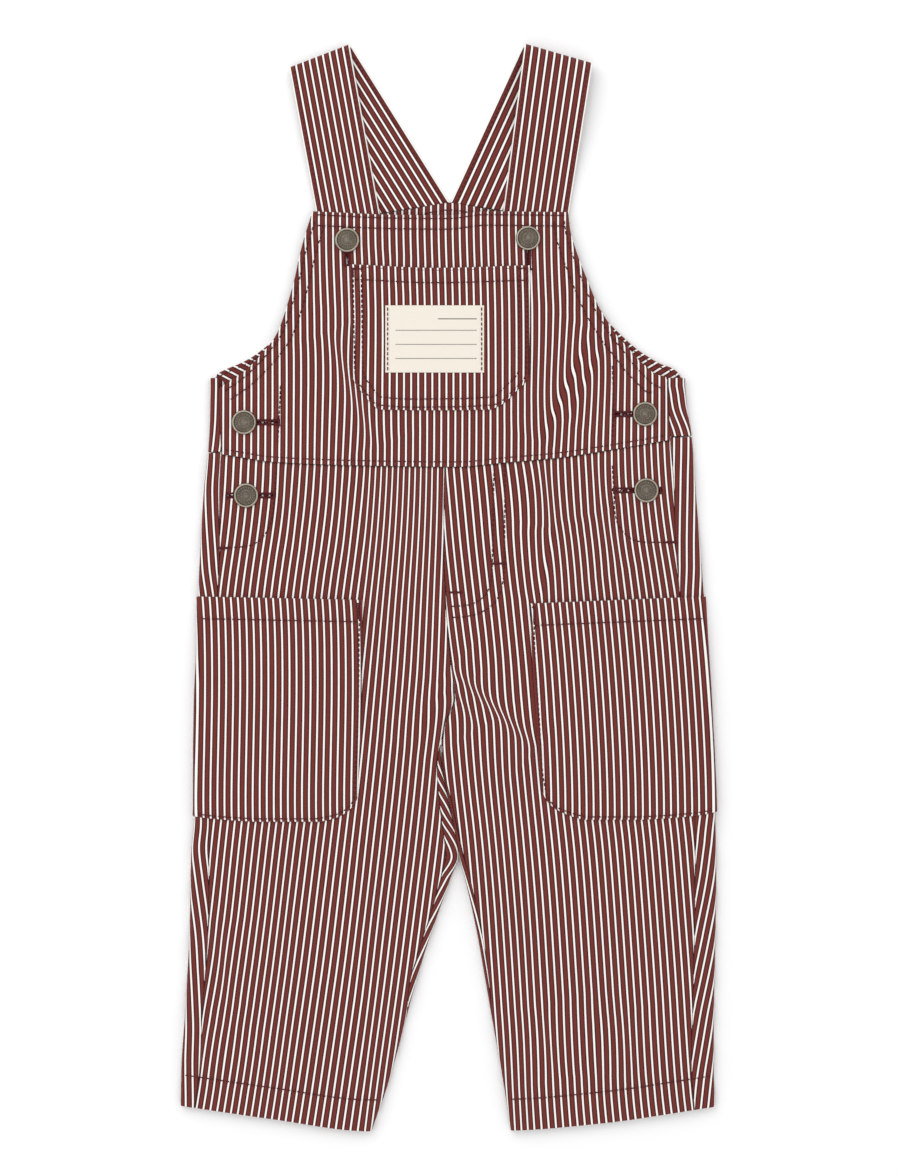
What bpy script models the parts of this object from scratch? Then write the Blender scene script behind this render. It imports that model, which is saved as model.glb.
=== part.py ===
"""Child's dungarees in striped cotton twill, laid flat with the front up.

The garment lies on z = 0 with its straps towards +Y; "left" is -X. Every size
is in millimetres and turns into metres when a mesh is made. The back panels lie
on the floor and fold over at the outer sides and the inner legs, so the seams
sit on top, a little inside the outline. The front panels lie over them, the
pockets on the fronts, and the straps fold back behind the bib.
"""

import math

import bmesh
import bpy
import numpy as np

MM = 0.001

# Driving sizes.
CLOTH = 1.0            # one layer of twill
SEAM_GAP = 0.3         # between pieces that meet or lie on each other
STACK = 4.4            # floor to the top of the front panels
POCKET_STAND = SEAM_GAP + CLOTH
WAIST = 75.0           # nominal height of the waist seam
HEM = -302.0           # nominal height of the leg hems
STRAP_WIDTH = 35.0
STRAP_CLOTH = 1.6      # a strap is a double layer
BUTTON_WIDTH = 14.0

TWILL = ("striped_twill", (0.30, 0.105, 0.095, 1.0), 0.85, 0.0)
LABEL = ("woven_label", (0.84, 0.79, 0.70, 1.0), 0.8, 0.0)
NICKEL = ("antique_nickel", (0.36, 0.32, 0.26, 1.0), 0.38, 1.0)


class Table:
    """Rows of sizes under named columns, read at any value of the first one."""

    def __init__(self, columns, *rows):
        self.columns = columns.split()
        self.values = np.array(rows, float)

    def at(self, column, key):
        return np.interp(key, self.values[:, 0], self.values[:, self.columns.index(column)])

    def rows(self):
        return [dict(zip(self.columns, row)) for row in self.values]


# Each leg by height: how far its fold, its side seam and its inner edge lie
# from the middle (outwards is positive), and how far its back panel is carried
# up round the inner edge. From the split (y = -152) up, both share one line.
LEFT_LEG = Table(
    "y outer seam inner wrap",
    (-302, 152.8, 144.6, 44.0, 0.0),
    (-276, 152.2, 141.6, 34.2, 0.0),
    (-249, 150.5, 140.6, 26.2, 0.0),
    (-221, 148.9, 138.6, 18.2, 4.8),
    (-194, 147.6, 137.0, 9.1, 5.2),
    (-166, 147.1, 136.5, -0.8, 6.8),
    (-152, 146.8, 136.5, -5.6, 8.8),
    (-127, 144.6, 136.2, -0.9, 7.0),
    (-95, 144.6, 135.5, 4.3, 3.0),
    (-79, 144.4, 135.0, 2.6, 0.0),
    (-63, 144.1, 134.5, -3.2, 0.0),
    (-36, 142.9, 133.5, -0.3, 0.0),
    (0, 142.5, 131.4, 2.2, 0.0),
    (25, 141.4, 130.5, 2.9, 0.0),
    (52, 139.7, 130.5, 2.9, 0.0),
    (78, 136.9, 129.6, 2.4, 0.0),
    (95, 136.2, 130.4, 2.4, 0.0),
    (112, 136.0, 131.0, 2.4, 0.0),
)
RIGHT_LEG = Table(
    "y outer seam inner wrap",
    (-302, 151.4, 139.6, 35.0, 0.0),
    (-276, 150.8, 137.9, 30.8, 0.0),
    (-249, 150.8, 138.4, 25.7, 0.0),
    (-221, 151.3, 139.1, 20.5, 3.5),
    (-194, 151.8, 139.7, 15.4, 4.0),
    (-166, 152.2, 140.0, 9.1, 4.2),
    (-152, 152.0, 140.1, 5.6, 3.8),
    (-127, 151.5, 139.9, 0.9, 3.0),
    (-95, 150.3, 138.5, -4.3, 1.0),
    (-79, 149.4, 137.5, -2.6, 0.0),
    (-63, 148.6, 136.5, 3.2, 0.0),
    (-36, 146.9, 134.0, 0.3, 0.0),
    (0, 144.8, 130.9, -2.2, 0.0),
    (25, 142.5, 128.8, -2.9, 0.0),
    (52, 140.2, 127.9, -2.9, 0.0),
    (78, 137.9, 125.6, -2.4, 0.0),
    (95, 135.4, 125.0, -2.4, 0.0),
    (112, 134.5, 124.3, -2.4, 0.0),
)
LEGS = {"left": (-1, LEFT_LEG), "right": (1, RIGHT_LEG)}

# How far the waist seam and the hems stray from their nominal heights.
WAIST_CURVE = Table(
    "x rise", (-142, 2.6), (-129, 1.3), (-98, -3.2), (-49, -5.1), (5, -5.8),
    (32, -3.4), (62, -0.7), (93, 4.0), (124, 9.2), (140, 11.6),
)
BACK_WAIST_CURVE = Table("x rise", (-142, 1.8), (142, 11.4))
HEM_CURVE = Table("x rise", (-152, 7.0), (-102, -0.3), (-44, -7.4), (34, -7.0), (85, -3.1), (151, 6.5))
BIB_TOP_CURVE = Table("x rise", (-77, 1.0), (-28, -1.0), (-1, -1.2), (21, 1.0), (68, 0.5))
BACK_TOP_CURVE = Table("x rise", (-40, -0.4), (0.5, 6.3), (45, -1.3))

# The bib's two side edges: straight beside the openings, then the armholes.
BIB_EDGES = Table(
    "y left right",
    (75, 129.5, 125.8), (95, 130.4, 125.0), (112, 131.0, 124.3), (115.7, 126.6, 123.4),
    (117.5, 124.0, 118.2), (122.8, 116.9, 112.6), (128.1, 111.4, 107.4),
    (136.3, 104.1, 101.3), (141.6, 99.8, 96.5), (150, 95.6, 91.2), (161, 92.0, 84.6),
    (175, 88.0, 78.7), (189, 84.9, 73.2), (203, 80.9, 69.0), (213, 77.6, 67.9),
)
# The back panel's armholes, which show a little above the bib's.
BACK_ARMHOLES = Table(
    "y left right",
    (119.2, 133.8, 132.3), (121.8, 131.6, 130.8), (124.6, 126.2, 127.6), (127.4, 119.4, 120.4),
    (131.0, 112.5, 114.0), (136.8, 104.6, 105.7), (144.6, 95.4, 97.2), (156, 85.0, 86.0),
    (172, 73.5, 73.0), (188, 62.0, 61.5), (202, 49.5, 51.5), (213, 39.5, 44.5),
)
OPENING_TOP = 119.2    # where the back's folded side ends at the armhole

# The largest creases: ridges along a line, with their height and half-width.
CREASES = Table(
    "x0 y0 x1 y1 height width",
    (4, -50, 48, -90, 1.2, 8),
    (6, -60, 16, -80, 0.7, 6),
    (-66, 141, -43, 84, 0.8, 9),
    (80, 141, 54, 86, 0.8, 9),
    (55, 66, 57, 4, 0.7, 9),
    (83, 66, 92, 20, 0.7, 9),
    (55, -236, 60, -276, 0.6, 8),
    (-128, -195, -124, -235, 0.6, 8),
)


def top_height(x, y):
    """Upper face of the front panels: level, plus a soft ridge for each crease."""
    height = np.full(np.broadcast(x, y).shape, STACK)
    for crease in CREASES.rows():
        run = np.array((crease["x1"] - crease["x0"], crease["y1"] - crease["y0"]))
        length = np.hypot(*run)
        along = ((x - crease["x0"]) * run[0] + (y - crease["y0"]) * run[1]) / length
        across = ((y - crease["y0"]) * run[0] - (x - crease["x0"]) * run[1]) / length
        past_end = np.maximum(np.abs(along - length / 2) - length / 2, 0)
        height = height + crease["height"] * np.exp(-(across**2 + past_end**2) / crease["width"] ** 2)
    return height


def strayed(x, y, waist_curve=WAIST_CURVE):
    """Bend a row of the legs or the bib towards the waist seam and the hems."""
    near_waist = np.clip(y / WAIST, 0, 1) * np.clip((150 - y) / (150 - WAIST), 0, 1)
    near_hem = np.clip((-200 - y) / (-200 - HEM), 0, 1)
    return y + near_waist * waist_curve.at("rise", x) + near_hem * HEM_CURVE.at("rise", x)


# ---------------------------------------------------------------- making solids

def material(name, colour, roughness, metallic):
    """A plain finish, made once."""
    finish = bpy.data.materials.get(name) or bpy.data.materials.new(name)
    finish.use_nodes = True
    shader = finish.node_tree.nodes["Principled BSDF"]
    shader.inputs["Base Color"].default_value = colour
    shader.inputs["Roughness"].default_value = roughness
    shader.inputs["Metallic"].default_value = metallic
    finish.diffuse_color = colour
    return finish


def solid(name, points, faces, finish):
    """Put a closed shape into the scene, its faces pointing out."""
    mesh = bpy.data.meshes.new(name)
    mesh.from_pydata((np.asarray(points) * MM).tolist(), [], faces)
    shape = bmesh.new()
    shape.from_mesh(mesh)
    loose = [vertex for vertex in shape.verts if not vertex.link_faces]
    bmesh.ops.delete(shape, geom=loose, context="VERTS")
    bmesh.ops.recalc_face_normals(shape, faces=shape.faces)
    shape.to_mesh(mesh)
    shape.free()
    if finish:
        mesh.materials.append(material(*finish))
    piece = bpy.data.objects.new(name, mesh)
    bpy.context.scene.collection.objects.link(piece)
    return piece


def sheet(name, outer, inner, finish=TWILL, present=None):
    """A wall of cloth between two grids of points, closed round its edge.

    present marks the cells of the grid that are there; by default all are.
    """
    rows, columns, _ = outer.shape
    index = np.arange(rows * columns).reshape(rows, columns)
    if present is None:
        present = np.ones((rows - 1, columns - 1), bool)
    corners = (index[:-1, :-1], index[:-1, 1:], index[1:, 1:], index[1:, :-1])
    front = np.stack([corner[present] for corner in corners], axis=1).tolist()
    back = index.size
    edges = {(quad[k], quad[(k + 1) % 4]) for quad in front for k in range(4)}
    rim = [(b, a, a + back, b + back) for a, b in edges if (b, a) not in edges]
    behind = [[corner + back for corner in reversed(quad)] for quad in front]
    points = np.concatenate([outer.reshape(-1, 3), inner.reshape(-1, 3)])
    return solid(name, points, front + behind + sorted(rim), finish)


def cut(piece, cutter):
    """Take a hidden cutter out of a piece."""
    cutter.hide_render = True
    cutter.display_type = "WIRE"
    hole = piece.modifiers.new(cutter.name, "BOOLEAN")
    hole.operation = "DIFFERENCE"
    hole.solver = "EXACT"
    hole.object = cutter


# ---------------------------------------------------------------- legs

LEG_ROWS = np.array([
    HEM, -288, -276, -262, -249, -235, -221, -208, -194, -180, -166, -152, -146, -135.5, -124,
    -110, -95, -79, -70, -63, -56, -49, -36, -20, -3.5, 10, 25, 39, 52, 64, WAIST,
])
# Under the part of a side pocket that folds beneath the leg, the leg is raised.
POCKET_LIFT = Table("y share", (-146, 0), (-135.5, 1), (-3.5, 1), (10, 0))
LIFT_REACH = 15.0      # from the fold, level
LIFT_FADE = 22.0       # from the fold, back on the floor
CROTCH_OPEN = -49.0    # above this the fronts and the backs meet in flat seams
CROTCH_SHUT = -63.0    # below this each leg is a closed tube


def lift_at(y):
    return POCKET_STAND * POCKET_LIFT.at("share", y)


def round_edge(along, radius, middle, sweep):
    """Carry a length of cloth round a folded edge.

    along runs from the edge, over the top where positive and beneath where
    negative. A sweep of a quarter turn is a whole fold; with less, the layers
    still part at the edge. Returns the distance in from the edge, the height,
    and the two parts of the outward direction.
    """
    side = np.where(along < 0, -1.0, 1.0)
    left_to_turn = np.maximum(sweep - np.abs(along) / radius, 0)
    flat = np.maximum(np.abs(along) - radius * sweep, 0)
    inward, upward = -np.sin(left_to_turn), side * np.cos(left_to_turn)
    inset = radius * (np.sin(sweep) + inward) + flat
    return inset, middle + radius * upward, inward, upward


def outer_fold(table, along, y, offset):
    """Round the outer side of a leg: distance from the middle line and height."""
    lift = lift_at(y)
    radius, middle = (STACK - lift) / 2, (STACK + lift) / 2
    inset, height, inward, upward = round_edge(along, radius, middle, math.pi / 2)
    return table.at("outer", y) - inset - offset * inward, height + offset * upward


def inner_fold(table, along, y, offset):
    """Round the inner edge of a leg, which comes apart above the crotch."""
    closed = np.clip((CROTCH_OPEN - y) / (CROTCH_OPEN - CROTCH_SHUT), 0, 1)
    sweep = math.pi / 2 * closed
    inset, height, inward, upward = round_edge(along, STACK / 2, STACK / 2, sweep)
    return table.at("inner", y) + SEAM_GAP / 2 + inset + offset * inward, height + offset * upward


def seam_along(table, y):
    """Length of cloth over the top from the outer fold to the side seam."""
    radius = (STACK - lift_at(y)) / 2
    return table.at("outer", y) - table.at("seam", y) - radius + math.pi / 2 * radius


def back_leg_points(side, offset):
    """Grid of a back panel: side seam, outer fold, floor, inner fold, inseam."""
    sign, table = LEGS[side]
    rows = []
    for y in LEG_ROWS:
        quarter = math.pi / 2 * (STACK - lift_at(y)) / 2
        seam = seam_along(table, y) - SEAM_GAP / 2
        over = np.concatenate([[seam, (seam + quarter) / 2], np.linspace(quarter, -quarter, 6)])
        out_x, out_z = outer_fold(table, over, y, offset)
        level = table.at("outer", y) - np.array([LIFT_REACH, LIFT_FADE])
        floor_inner = table.at("inner", y) + 7.0
        level = np.concatenate([level, np.linspace(level[-1], floor_inner, 5)[1:]])
        raised = np.where(table.at("outer", y) - level < LIFT_REACH + 1, lift_at(y), 0.0)
        wrap = table.at("wrap", y) - SEAM_GAP / 2
        inner_x, inner_z = inner_fold(table, np.linspace(-5.2, wrap, 9), y, offset)
        across = np.concatenate([out_x, level, inner_x]) * sign
        height = np.concatenate([out_z, raised - offset, inner_z])
        row_y = strayed(across, np.full(across.shape, y), BACK_WAIST_CURVE)
        rows.append(np.stack([across, row_y, height], axis=1))
    return np.array(rows)


def front_leg_points(side, offset):
    """Grid of a front panel, from the side seam over to the inseam."""
    sign, table = LEGS[side]
    rows = []
    for y in LEG_ROWS:
        wrap = table.at("wrap", y) + SEAM_GAP / 2
        edge_x, edge_z = inner_fold(table, wrap + np.array([5.4, 3.6, 1.8, 0.0]), y, offset)
        flat_x = np.linspace(table.at("seam", y) - SEAM_GAP / 2, edge_x[0], 12)[:-1]
        across = np.concatenate([flat_x, edge_x]) * sign
        strayed_y = strayed(across, np.full(across.shape, y))
        crease = top_height(across, strayed_y) - STACK
        turned = np.concatenate([np.ones(flat_x.size), np.clip(edge_z / (STACK + offset), 0, 1)])
        height = np.concatenate([np.full(flat_x.size, STACK + offset), edge_z]) + crease * turned
        rows.append(np.stack([across, strayed_y, height], axis=1))
    return np.array(rows)


def make_legs():
    for side in LEGS:
        sheet(f"back_leg_{side}", back_leg_points(side, 0), back_leg_points(side, -CLOTH))
        sheet(f"front_leg_{side}", front_leg_points(side, 0), front_leg_points(side, -CLOTH))


# ---------------------------------------------------------------- side pockets

# Each pocket by height: its inner edge, with the rounded corner at its foot.
POCKETS = {
    "left": Table(
        "y inner", (-133.2, 73.0), (-130.5, 62.8), (-125, 55.2), (-118.5, 51.9),
        (-104, 51.4), (-60, 49.7), (-5.1, 49.2),
    ),
    "right": Table(
        "y inner", (-132.1, 76.0), (-130.0, 69.5), (-125, 59.1), (-118, 53.9),
        (-100, 51.0), (-77, 49.8), (-42, 47.4), (-5.1, 46.3),
    ),
}
POCKET_ROWS = 10
POCKET_UNDER = 11.0    # how far a pocket runs on beneath the leg
POCKET_MOUTH_SLOPE = {"left": 0.02, "right": 0.04}
POCKET_FOOT_RISE = Table("outwards rise", (110, 0), (126, 1.0), (142, 2.6), (153, 4.8))


def pocket_points(side, offset):
    """Grid of a side pocket: out over the front, round the fold and beneath."""
    sign, leg = LEGS[side]
    table = POCKETS[side]
    foot, mouth = table.values[0, 0], table.values[-1, 0]
    corner = table.values[:4, 0]
    rows = []
    for y in np.concatenate([corner, np.linspace(corner[-1], mouth, POCKET_ROWS)[1:]]):
        outer = leg.at("outer", y)
        radius = (STACK - POCKET_STAND) / 2
        quarter = math.pi / 2 * radius
        along = np.concatenate([np.linspace(quarter, -quarter, 7), [-quarter - POCKET_UNDER]])
        fold_x, fold_z = outer_fold(leg, along, y, offset)
        flat_x = np.linspace(table.at("inner", y), outer - radius, 11)[:-1]
        across = np.concatenate([flat_x, fold_x])
        rise = POCKET_FOOT_RISE.at("rise", across) * np.clip((-100 - y) / (-100 - foot), 0, 1)
        drop = POCKET_MOUTH_SLOPE[side] * (outer - across) * np.clip((y + 60) / (mouth + 60), 0, 1)
        row_y = y + rise - drop
        crease = top_height(flat_x * sign, row_y[: flat_x.size])
        height = np.concatenate([crease + offset, fold_z])
        rows.append(np.stack([across * sign, row_y, height], axis=1))
    return np.array(rows)


def make_side_pockets():
    for side in POCKETS:
        outside = pocket_points(side, POCKET_STAND)
        sheet(f"side_pocket_{side}", outside, pocket_points(side, SEAM_GAP))


# ---------------------------------------------------------------- bib and back

BIB_ROWS = np.array([
    WAIST, 85, 95, 103, 112, 115.7, 119.5, 124, 130, 138, 148, 160, 172, 186, 200, 213,
])
BIB_COLUMNS = 19


def bib_points(offset):
    """Grid of the bib, each row reaching from one side edge to the other."""
    rows = []
    for y in BIB_ROWS:
        lift_off = SEAM_GAP if y == WAIST else 0.0
        left, right = -BIB_EDGES.at("left", y), BIB_EDGES.at("right", y)
        across = np.linspace(left + SEAM_GAP / 2, right - SEAM_GAP / 2, BIB_COLUMNS)
        near_top = np.clip((y - 160) / (213 - 160), 0, 1)
        row_y = strayed(across, y) + near_top * BIB_TOP_CURVE.at("rise", across) + lift_off
        rows.append(np.stack([across, row_y, top_height(across, row_y) + offset], axis=1))
    return np.array(rows)


def back_bib_points(offset):
    """Grid of the upper back, with a folded side at each end of its lower rows."""
    folded = np.array([WAIST, 88, 100, 110, OPENING_TOP])
    armhole = np.array([121.8, 124.6, 127.4, 131, 138, 148, 160, 174, 188, 202, 213])
    rows = []
    for y in np.concatenate([folded, armhole]):
        lift_off = SEAM_GAP if y == WAIST else 0.0
        ends = []
        for side, (sign, table) in LEGS.items():
            level = min(y, OPENING_TOP)
            quarter = math.pi / 2 * STACK / 2
            seam = seam_along(table, level) - SEAM_GAP / 2
            over = np.concatenate([[seam, (seam + quarter) / 2], np.linspace(quarter, -quarter, 6)])
            x, z = outer_fold(table, over, level, offset)
            if y > OPENING_TOP:
                x[-1] = BACK_ARMHOLES.at(side, y)
            ends.append((x * sign, z))
        (left_x, left_z), (right_x, right_z) = ends
        floor_x = np.linspace(left_x[-1], right_x[-1], 10)[1:-1]
        across = np.concatenate([left_x, floor_x, right_x[::-1]])
        height = np.concatenate([left_z, np.full(floor_x.size, -offset), right_z[::-1]])
        near_top = np.clip((y - 188) / (213 - 188), 0, 1)
        bent = strayed(across, y, BACK_WAIST_CURVE) if y < OPENING_TOP else y
        row_y = bent + near_top * BACK_TOP_CURVE.at("rise", across) + lift_off
        rows.append(np.stack([across, row_y, height], axis=1))
    present = np.ones((len(rows) - 1, across.size - 1), bool)
    wraps = left_x.size - 1
    present[folded.size - 1 :, :wraps] = False
    present[folded.size - 1 :, -wraps:] = False
    return np.array(rows), present


def make_bib_and_back():
    bib = sheet("front_bib", bib_points(0), bib_points(-CLOTH))
    outside, present = back_bib_points(0)
    inside, _ = back_bib_points(-CLOTH)
    sheet("back_bib", outside, inside, present=present)
    return bib


# ---------------------------------------------------------------- pieces on the bib

BIB_POCKET = Table(
    "y left right",
    (101.2, -40.0, 24.0), (103.4, -42.4, 27.5), (110.5, -48.8, 36.5), (118.5, -54.6, 44.4),
    (135, -55.2, 45.8), (150, -55.5, 46.0), (166, -55.9, 46.1), (182.6, -56.2, 46.2),
)
LABEL_BOX = (-36.2, 20.0, 122.1, 160.3)
LABEL_THICK = 0.5


def make_bib_pocket():
    """A patch pocket with two slanted corners, lying on the bib."""
    def points(offset):
        rows = []
        for row in BIB_POCKET.rows():
            across = np.linspace(row["left"], row["right"], 11)
            height = top_height(across, row["y"]) + offset
            rows.append(np.stack([across, np.full(across.shape, row["y"]), height], axis=1))
        return np.array(rows)

    sheet("bib_pocket", points(POCKET_STAND), points(SEAM_GAP))


def make_label():
    """A woven label lying on the bib pocket."""
    left, right, bottom, top = LABEL_BOX
    across, up = np.meshgrid(np.linspace(left, right, 6), np.linspace(bottom, top, 4))
    under = top_height(across, up) + POCKET_STAND + SEAM_GAP
    lower = np.stack([across, up, under], axis=2)
    upper = np.stack([across, up, under + LABEL_THICK], axis=2)
    sheet("label", upper, lower, LABEL)


# ---------------------------------------------------------------- armhole facings

FACING_WIDTH = Table("share width", (0, 9.0), (0.3, 16.0), (1, 20.0))
FACING_SPAN = (121.0, 152.0)    # heights between which the facing is seen


def make_facings():
    """A bias strip inside each back armhole, level with its edge."""
    low = CLOTH + SEAM_GAP
    for side, (sign, _) in LEGS.items():
        y = np.concatenate([np.linspace(FACING_SPAN[0], 131, 6), np.linspace(131, FACING_SPAN[1], 5)[1:]])
        edge = np.stack([BACK_ARMHOLES.at(side, y) * sign, y], axis=1)
        share = np.linspace(0, 1, y.size)
        run = np.gradient(edge, axis=0)
        run /= np.linalg.norm(run, axis=1, keepdims=True)
        inward = np.stack([run[:, 1], -run[:, 0]], axis=1) * -sign
        far = edge + inward * FACING_WIDTH.at("width", share)[:, None]
        plan = np.stack([edge, far], axis=0)
        faces = [
            np.concatenate([plan, np.full(plan.shape[:2] + (1,), height)], axis=2)
            for height in (low + CLOTH, low)
        ]
        sheet(f"armhole_facing_{side}", *faces)


# ---------------------------------------------------------------- side openings

PLACKET_TOP = 106.0
PLACKET_FOOT = 24.0
PLACKET_WIDTH = 30.0
PLACKET_UNDER_BACK = 3.0


def make_plackets():
    """The underlap of each side opening, held beneath the back's folded edge."""
    upper = STACK - CLOTH - SEAM_GAP
    for side, (sign, table) in LEGS.items():
        y = np.linspace(PLACKET_FOOT, PLACKET_TOP, 7)
        seam = table.at("seam", y)
        across = np.stack([seam + PLACKET_UNDER_BACK, seam - PLACKET_WIDTH / 2, seam - PLACKET_WIDTH])
        up = np.broadcast_to(y, across.shape)
        faces = [
            np.stack([across * sign, up, np.full(across.shape, height)], axis=2)
            for height in (upper, upper - CLOTH)
        ]
        sheet(f"side_placket_{side}", *faces)


# ---------------------------------------------------------------- straps

# Each strap: the two corners of its fold, the lean of its front half off the
# vertical, how round its fold is, and where its ends lie.
STRAPS = {
    "left": dict(
        outer=(-90.6, 296.1), inner=(-56.4, 309.3), radius=2.5, front_end=118.0,
        back_ends=((-38.9, 212.9), (0.2, 219.3)),
    ),
    "right": dict(
        outer=(81.3, 298.2), inner=(42.8, 309.3), radius=4.5, front_end=120.0,
        back_ends=((43.9, 212.1), (0.9, 219.3)),
    ),
}
STRAP_RAMP = (12.0, 74.0)      # from the fold, where the front half comes down
STRAP_REST = STACK - CLOTH - SEAM_GAP


def strap_points(strap, offset):
    """Grid of a strap, worked out flat and then bent round its fold.

    Distances b are square to the fold line: up to nought on top, half a turn
    round the fold, then back along the floor. The straight edges of the flat
    strip give the slant that the two halves take.
    """
    outer, inner = np.array(strap["outer"]), np.array(strap["inner"])
    radius = strap["radius"]
    fold = (inner - outer) / np.linalg.norm(inner - outer)
    beyond = np.array((-fold[1], fold[0])) * (1 if fold[0] > 0 else -1)
    turn = math.pi * radius
    ends = [np.array(end) for end in strap["back_ends"]]
    corners = [(0.0, -radius), (float(np.linalg.norm(inner - outer)), -radius)]
    back = [(float((end - outer) @ fold), float(-(end - outer) @ beyond)) for end in ends]
    tops = np.concatenate([
        np.linspace(-strap["front_end"], -STRAP_RAMP[1], 4),
        np.linspace(-STRAP_RAMP[1], -STRAP_RAMP[0], 6)[1:],
        [-4.0, 0.0],
    ])
    bends = np.linspace(0, turn, 8)[1:]
    strips = []
    for (corner_a, _), (end_a, end_b) in zip(corners, back):
        far = turn + end_b - radius
        slant = (end_a - corner_a) / (far - turn / 2)
        b = np.concatenate([tops, bends, np.linspace(turn, far, 6)[1:]])
        strips.append(np.stack([corner_a + slant * (b - turn / 2), b], axis=1))
    a = np.stack([strips[0][:, 0] * (1 - t) + strips[1][:, 0] * t for t in (0, 1 / 3, 2 / 3, 1)], axis=1)
    b = np.stack([strips[0][:, 1] * (1 - t) + strips[1][:, 1] * t for t in (0, 1 / 3, 2 / 3, 1)], axis=1)
    angle = np.clip(b / radius, 0, math.pi)
    reach = np.where(b < 0, b, np.where(b > turn, turn - b, (radius + offset) * np.sin(angle)))
    middle = radius + (radius + offset) * np.cos(angle)
    down = np.clip((-b - STRAP_RAMP[0]) / (STRAP_RAMP[1] - STRAP_RAMP[0]), 0, 1)
    smooth = down * down * (3 - 2 * down)
    height = middle - smooth * (2 * radius - STRAP_REST)
    plan = outer + a[..., None] * fold + (reach - radius)[..., None] * beyond
    return np.concatenate([plan, height[..., None]], axis=2)


def make_straps():
    for side, strap in STRAPS.items():
        sheet(f"strap_{side}", strap_points(strap, 0), strap_points(strap, -STRAP_CLOTH))


# ---------------------------------------------------------------- buttons

# Each button: its place, and how far its buttonhole runs on two sides of it.
BUTTONS = {
    "bib_left": dict(at=(-57.9, 197.5), hole=((0, 0), (0, -14.2)), through="front_bib"),
    "bib_right": dict(at=(45.0, 198.6), hole=((0, 0), (0, -17.6)), through="front_bib"),
    "side_upper_left": dict(at=(-116.5, 93.9), hole=((0, 0), (19.9, 0)), through="front_bib"),
    "side_upper_right": dict(at=(111.5, 98.6), hole=((0, 0), (-17.6, 0)), through="front_bib"),
    "side_lower_left": dict(at=(-115.3, 52.3), hole=((-9, 0), (15.8, 0)), through="front_leg_left"),
    "side_lower_right": dict(at=(112.2, 55.2), hole=((8.1, 0), (-18.3, 0)), through="front_leg_right"),
}
SHANK_WIDTH = 3.6
EYELET_WIDTH = 5.0
SLOT_WIDTH = 1.2
# A tack button's profile, from the foot of its shank up to its middle.
BUTTON_PROFILE = Table(
    "radius height",
    (SHANK_WIDTH / 2, -(CLOTH + SEAM_GAP)), (SHANK_WIDTH / 2, 0.0), (6.1, 0.0), (6.8, 0.3),
    (7.0, 0.9), (6.8, 1.6), (6.3, 1.9), (5.7, 1.6), (5.3, 1.25), (3.1, 1.35), (2.7, 1.7),
    (1.6, 1.85),
)
BUTTON_SIDES = 28


def make_button(name, place):
    """A turned tack button whose shank passes through its buttonhole."""
    base = STACK + SEAM_GAP
    turn = np.linspace(0, 2 * math.pi, BUTTON_SIDES, endpoint=False)
    rings = [
        np.stack([
            place[0] + row["radius"] * np.cos(turn),
            place[1] + row["radius"] * np.sin(turn),
            np.full(turn.size, base + row["height"]),
        ], axis=1)
        for row in BUTTON_PROFILE.rows()
    ]
    faces = [tuple(range(BUTTON_SIDES))]
    for ring in range(len(rings) - 1):
        for k in range(BUTTON_SIDES):
            low, high = ring * BUTTON_SIDES, (ring + 1) * BUTTON_SIDES
            after = (k + 1) % BUTTON_SIDES
            faces.append((low + k, low + after, high + after, high + k))
    faces.append(tuple((len(rings) - 1) * BUTTON_SIDES + k for k in range(BUTTON_SIDES)))
    button = solid(f"button_{name}", np.concatenate(rings), faces, NICKEL)
    for face in button.data.polygons:
        face.use_smooth = True
    button.data.set_sharp_from_angle(angle=math.radians(40))


def buttonhole_cutter(name, place, ends):
    """A round eyelet for the shank with a slot running out of it."""
    direction = np.array(ends[1], float) / np.linalg.norm(ends[1])
    square = np.array((-direction[1], direction[0]))
    half = SLOT_WIDTH / 2
    mouth = math.asin(half / (EYELET_WIDTH / 2))
    ring = EYELET_WIDTH / 2

    def arc(start, stop, count):
        return [(ring * math.cos(t), ring * math.sin(t)) for t in np.linspace(start, stop, count)]

    near, far = np.linalg.norm(ends[0]), np.linalg.norm(ends[1])
    outline = [(far, -half), (far, half)] + arc(mouth, math.pi - mouth, 9)
    if near:
        outline += [(-near, half), (-near, -half)] + arc(math.pi + mouth, 2 * math.pi - mouth, 9)
    else:
        outline += arc(math.pi - mouth, 2 * math.pi - mouth, 12)[1:]
    plan = [np.array(place) + u * direction + v * square for u, v in outline]
    levels = (STACK - CLOTH - 1.0, STACK + 1.5)
    points = [(x, y, z) for z in levels for x, y in plan]
    count = len(plan)
    sides = [(k, (k + 1) % count, (k + 1) % count + count, k + count) for k in range(count)]
    faces = [tuple(range(count)), tuple(range(count, 2 * count))] + sides
    return solid(f"buttonhole_{name}", points, faces, None)


def make_buttons():
    for name, button in BUTTONS.items():
        make_button(name, button["at"])
        cutter = buttonhole_cutter(name, button["at"], button["hole"])
        cut(bpy.data.objects[button["through"]], cutter)


# ---------------------------------------------------------------- the whole garment

for leftover in list(bpy.data.objects):
    bpy.data.objects.remove(leftover)
make_legs()
make_side_pockets()
make_bib_and_back()
make_bib_pocket()
make_label()
make_facings()
make_plackets()
make_straps()
make_buttons()
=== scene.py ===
"""Child's bib dungarees in burgundy twill with narrow white stripes, laid flat.

The garment lies on z = 0 with its front up and its straps towards +Y; "left" is
-X. Sizes and places are in millimetres, and turn into metres as a mesh is made.
"""
import math

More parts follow.
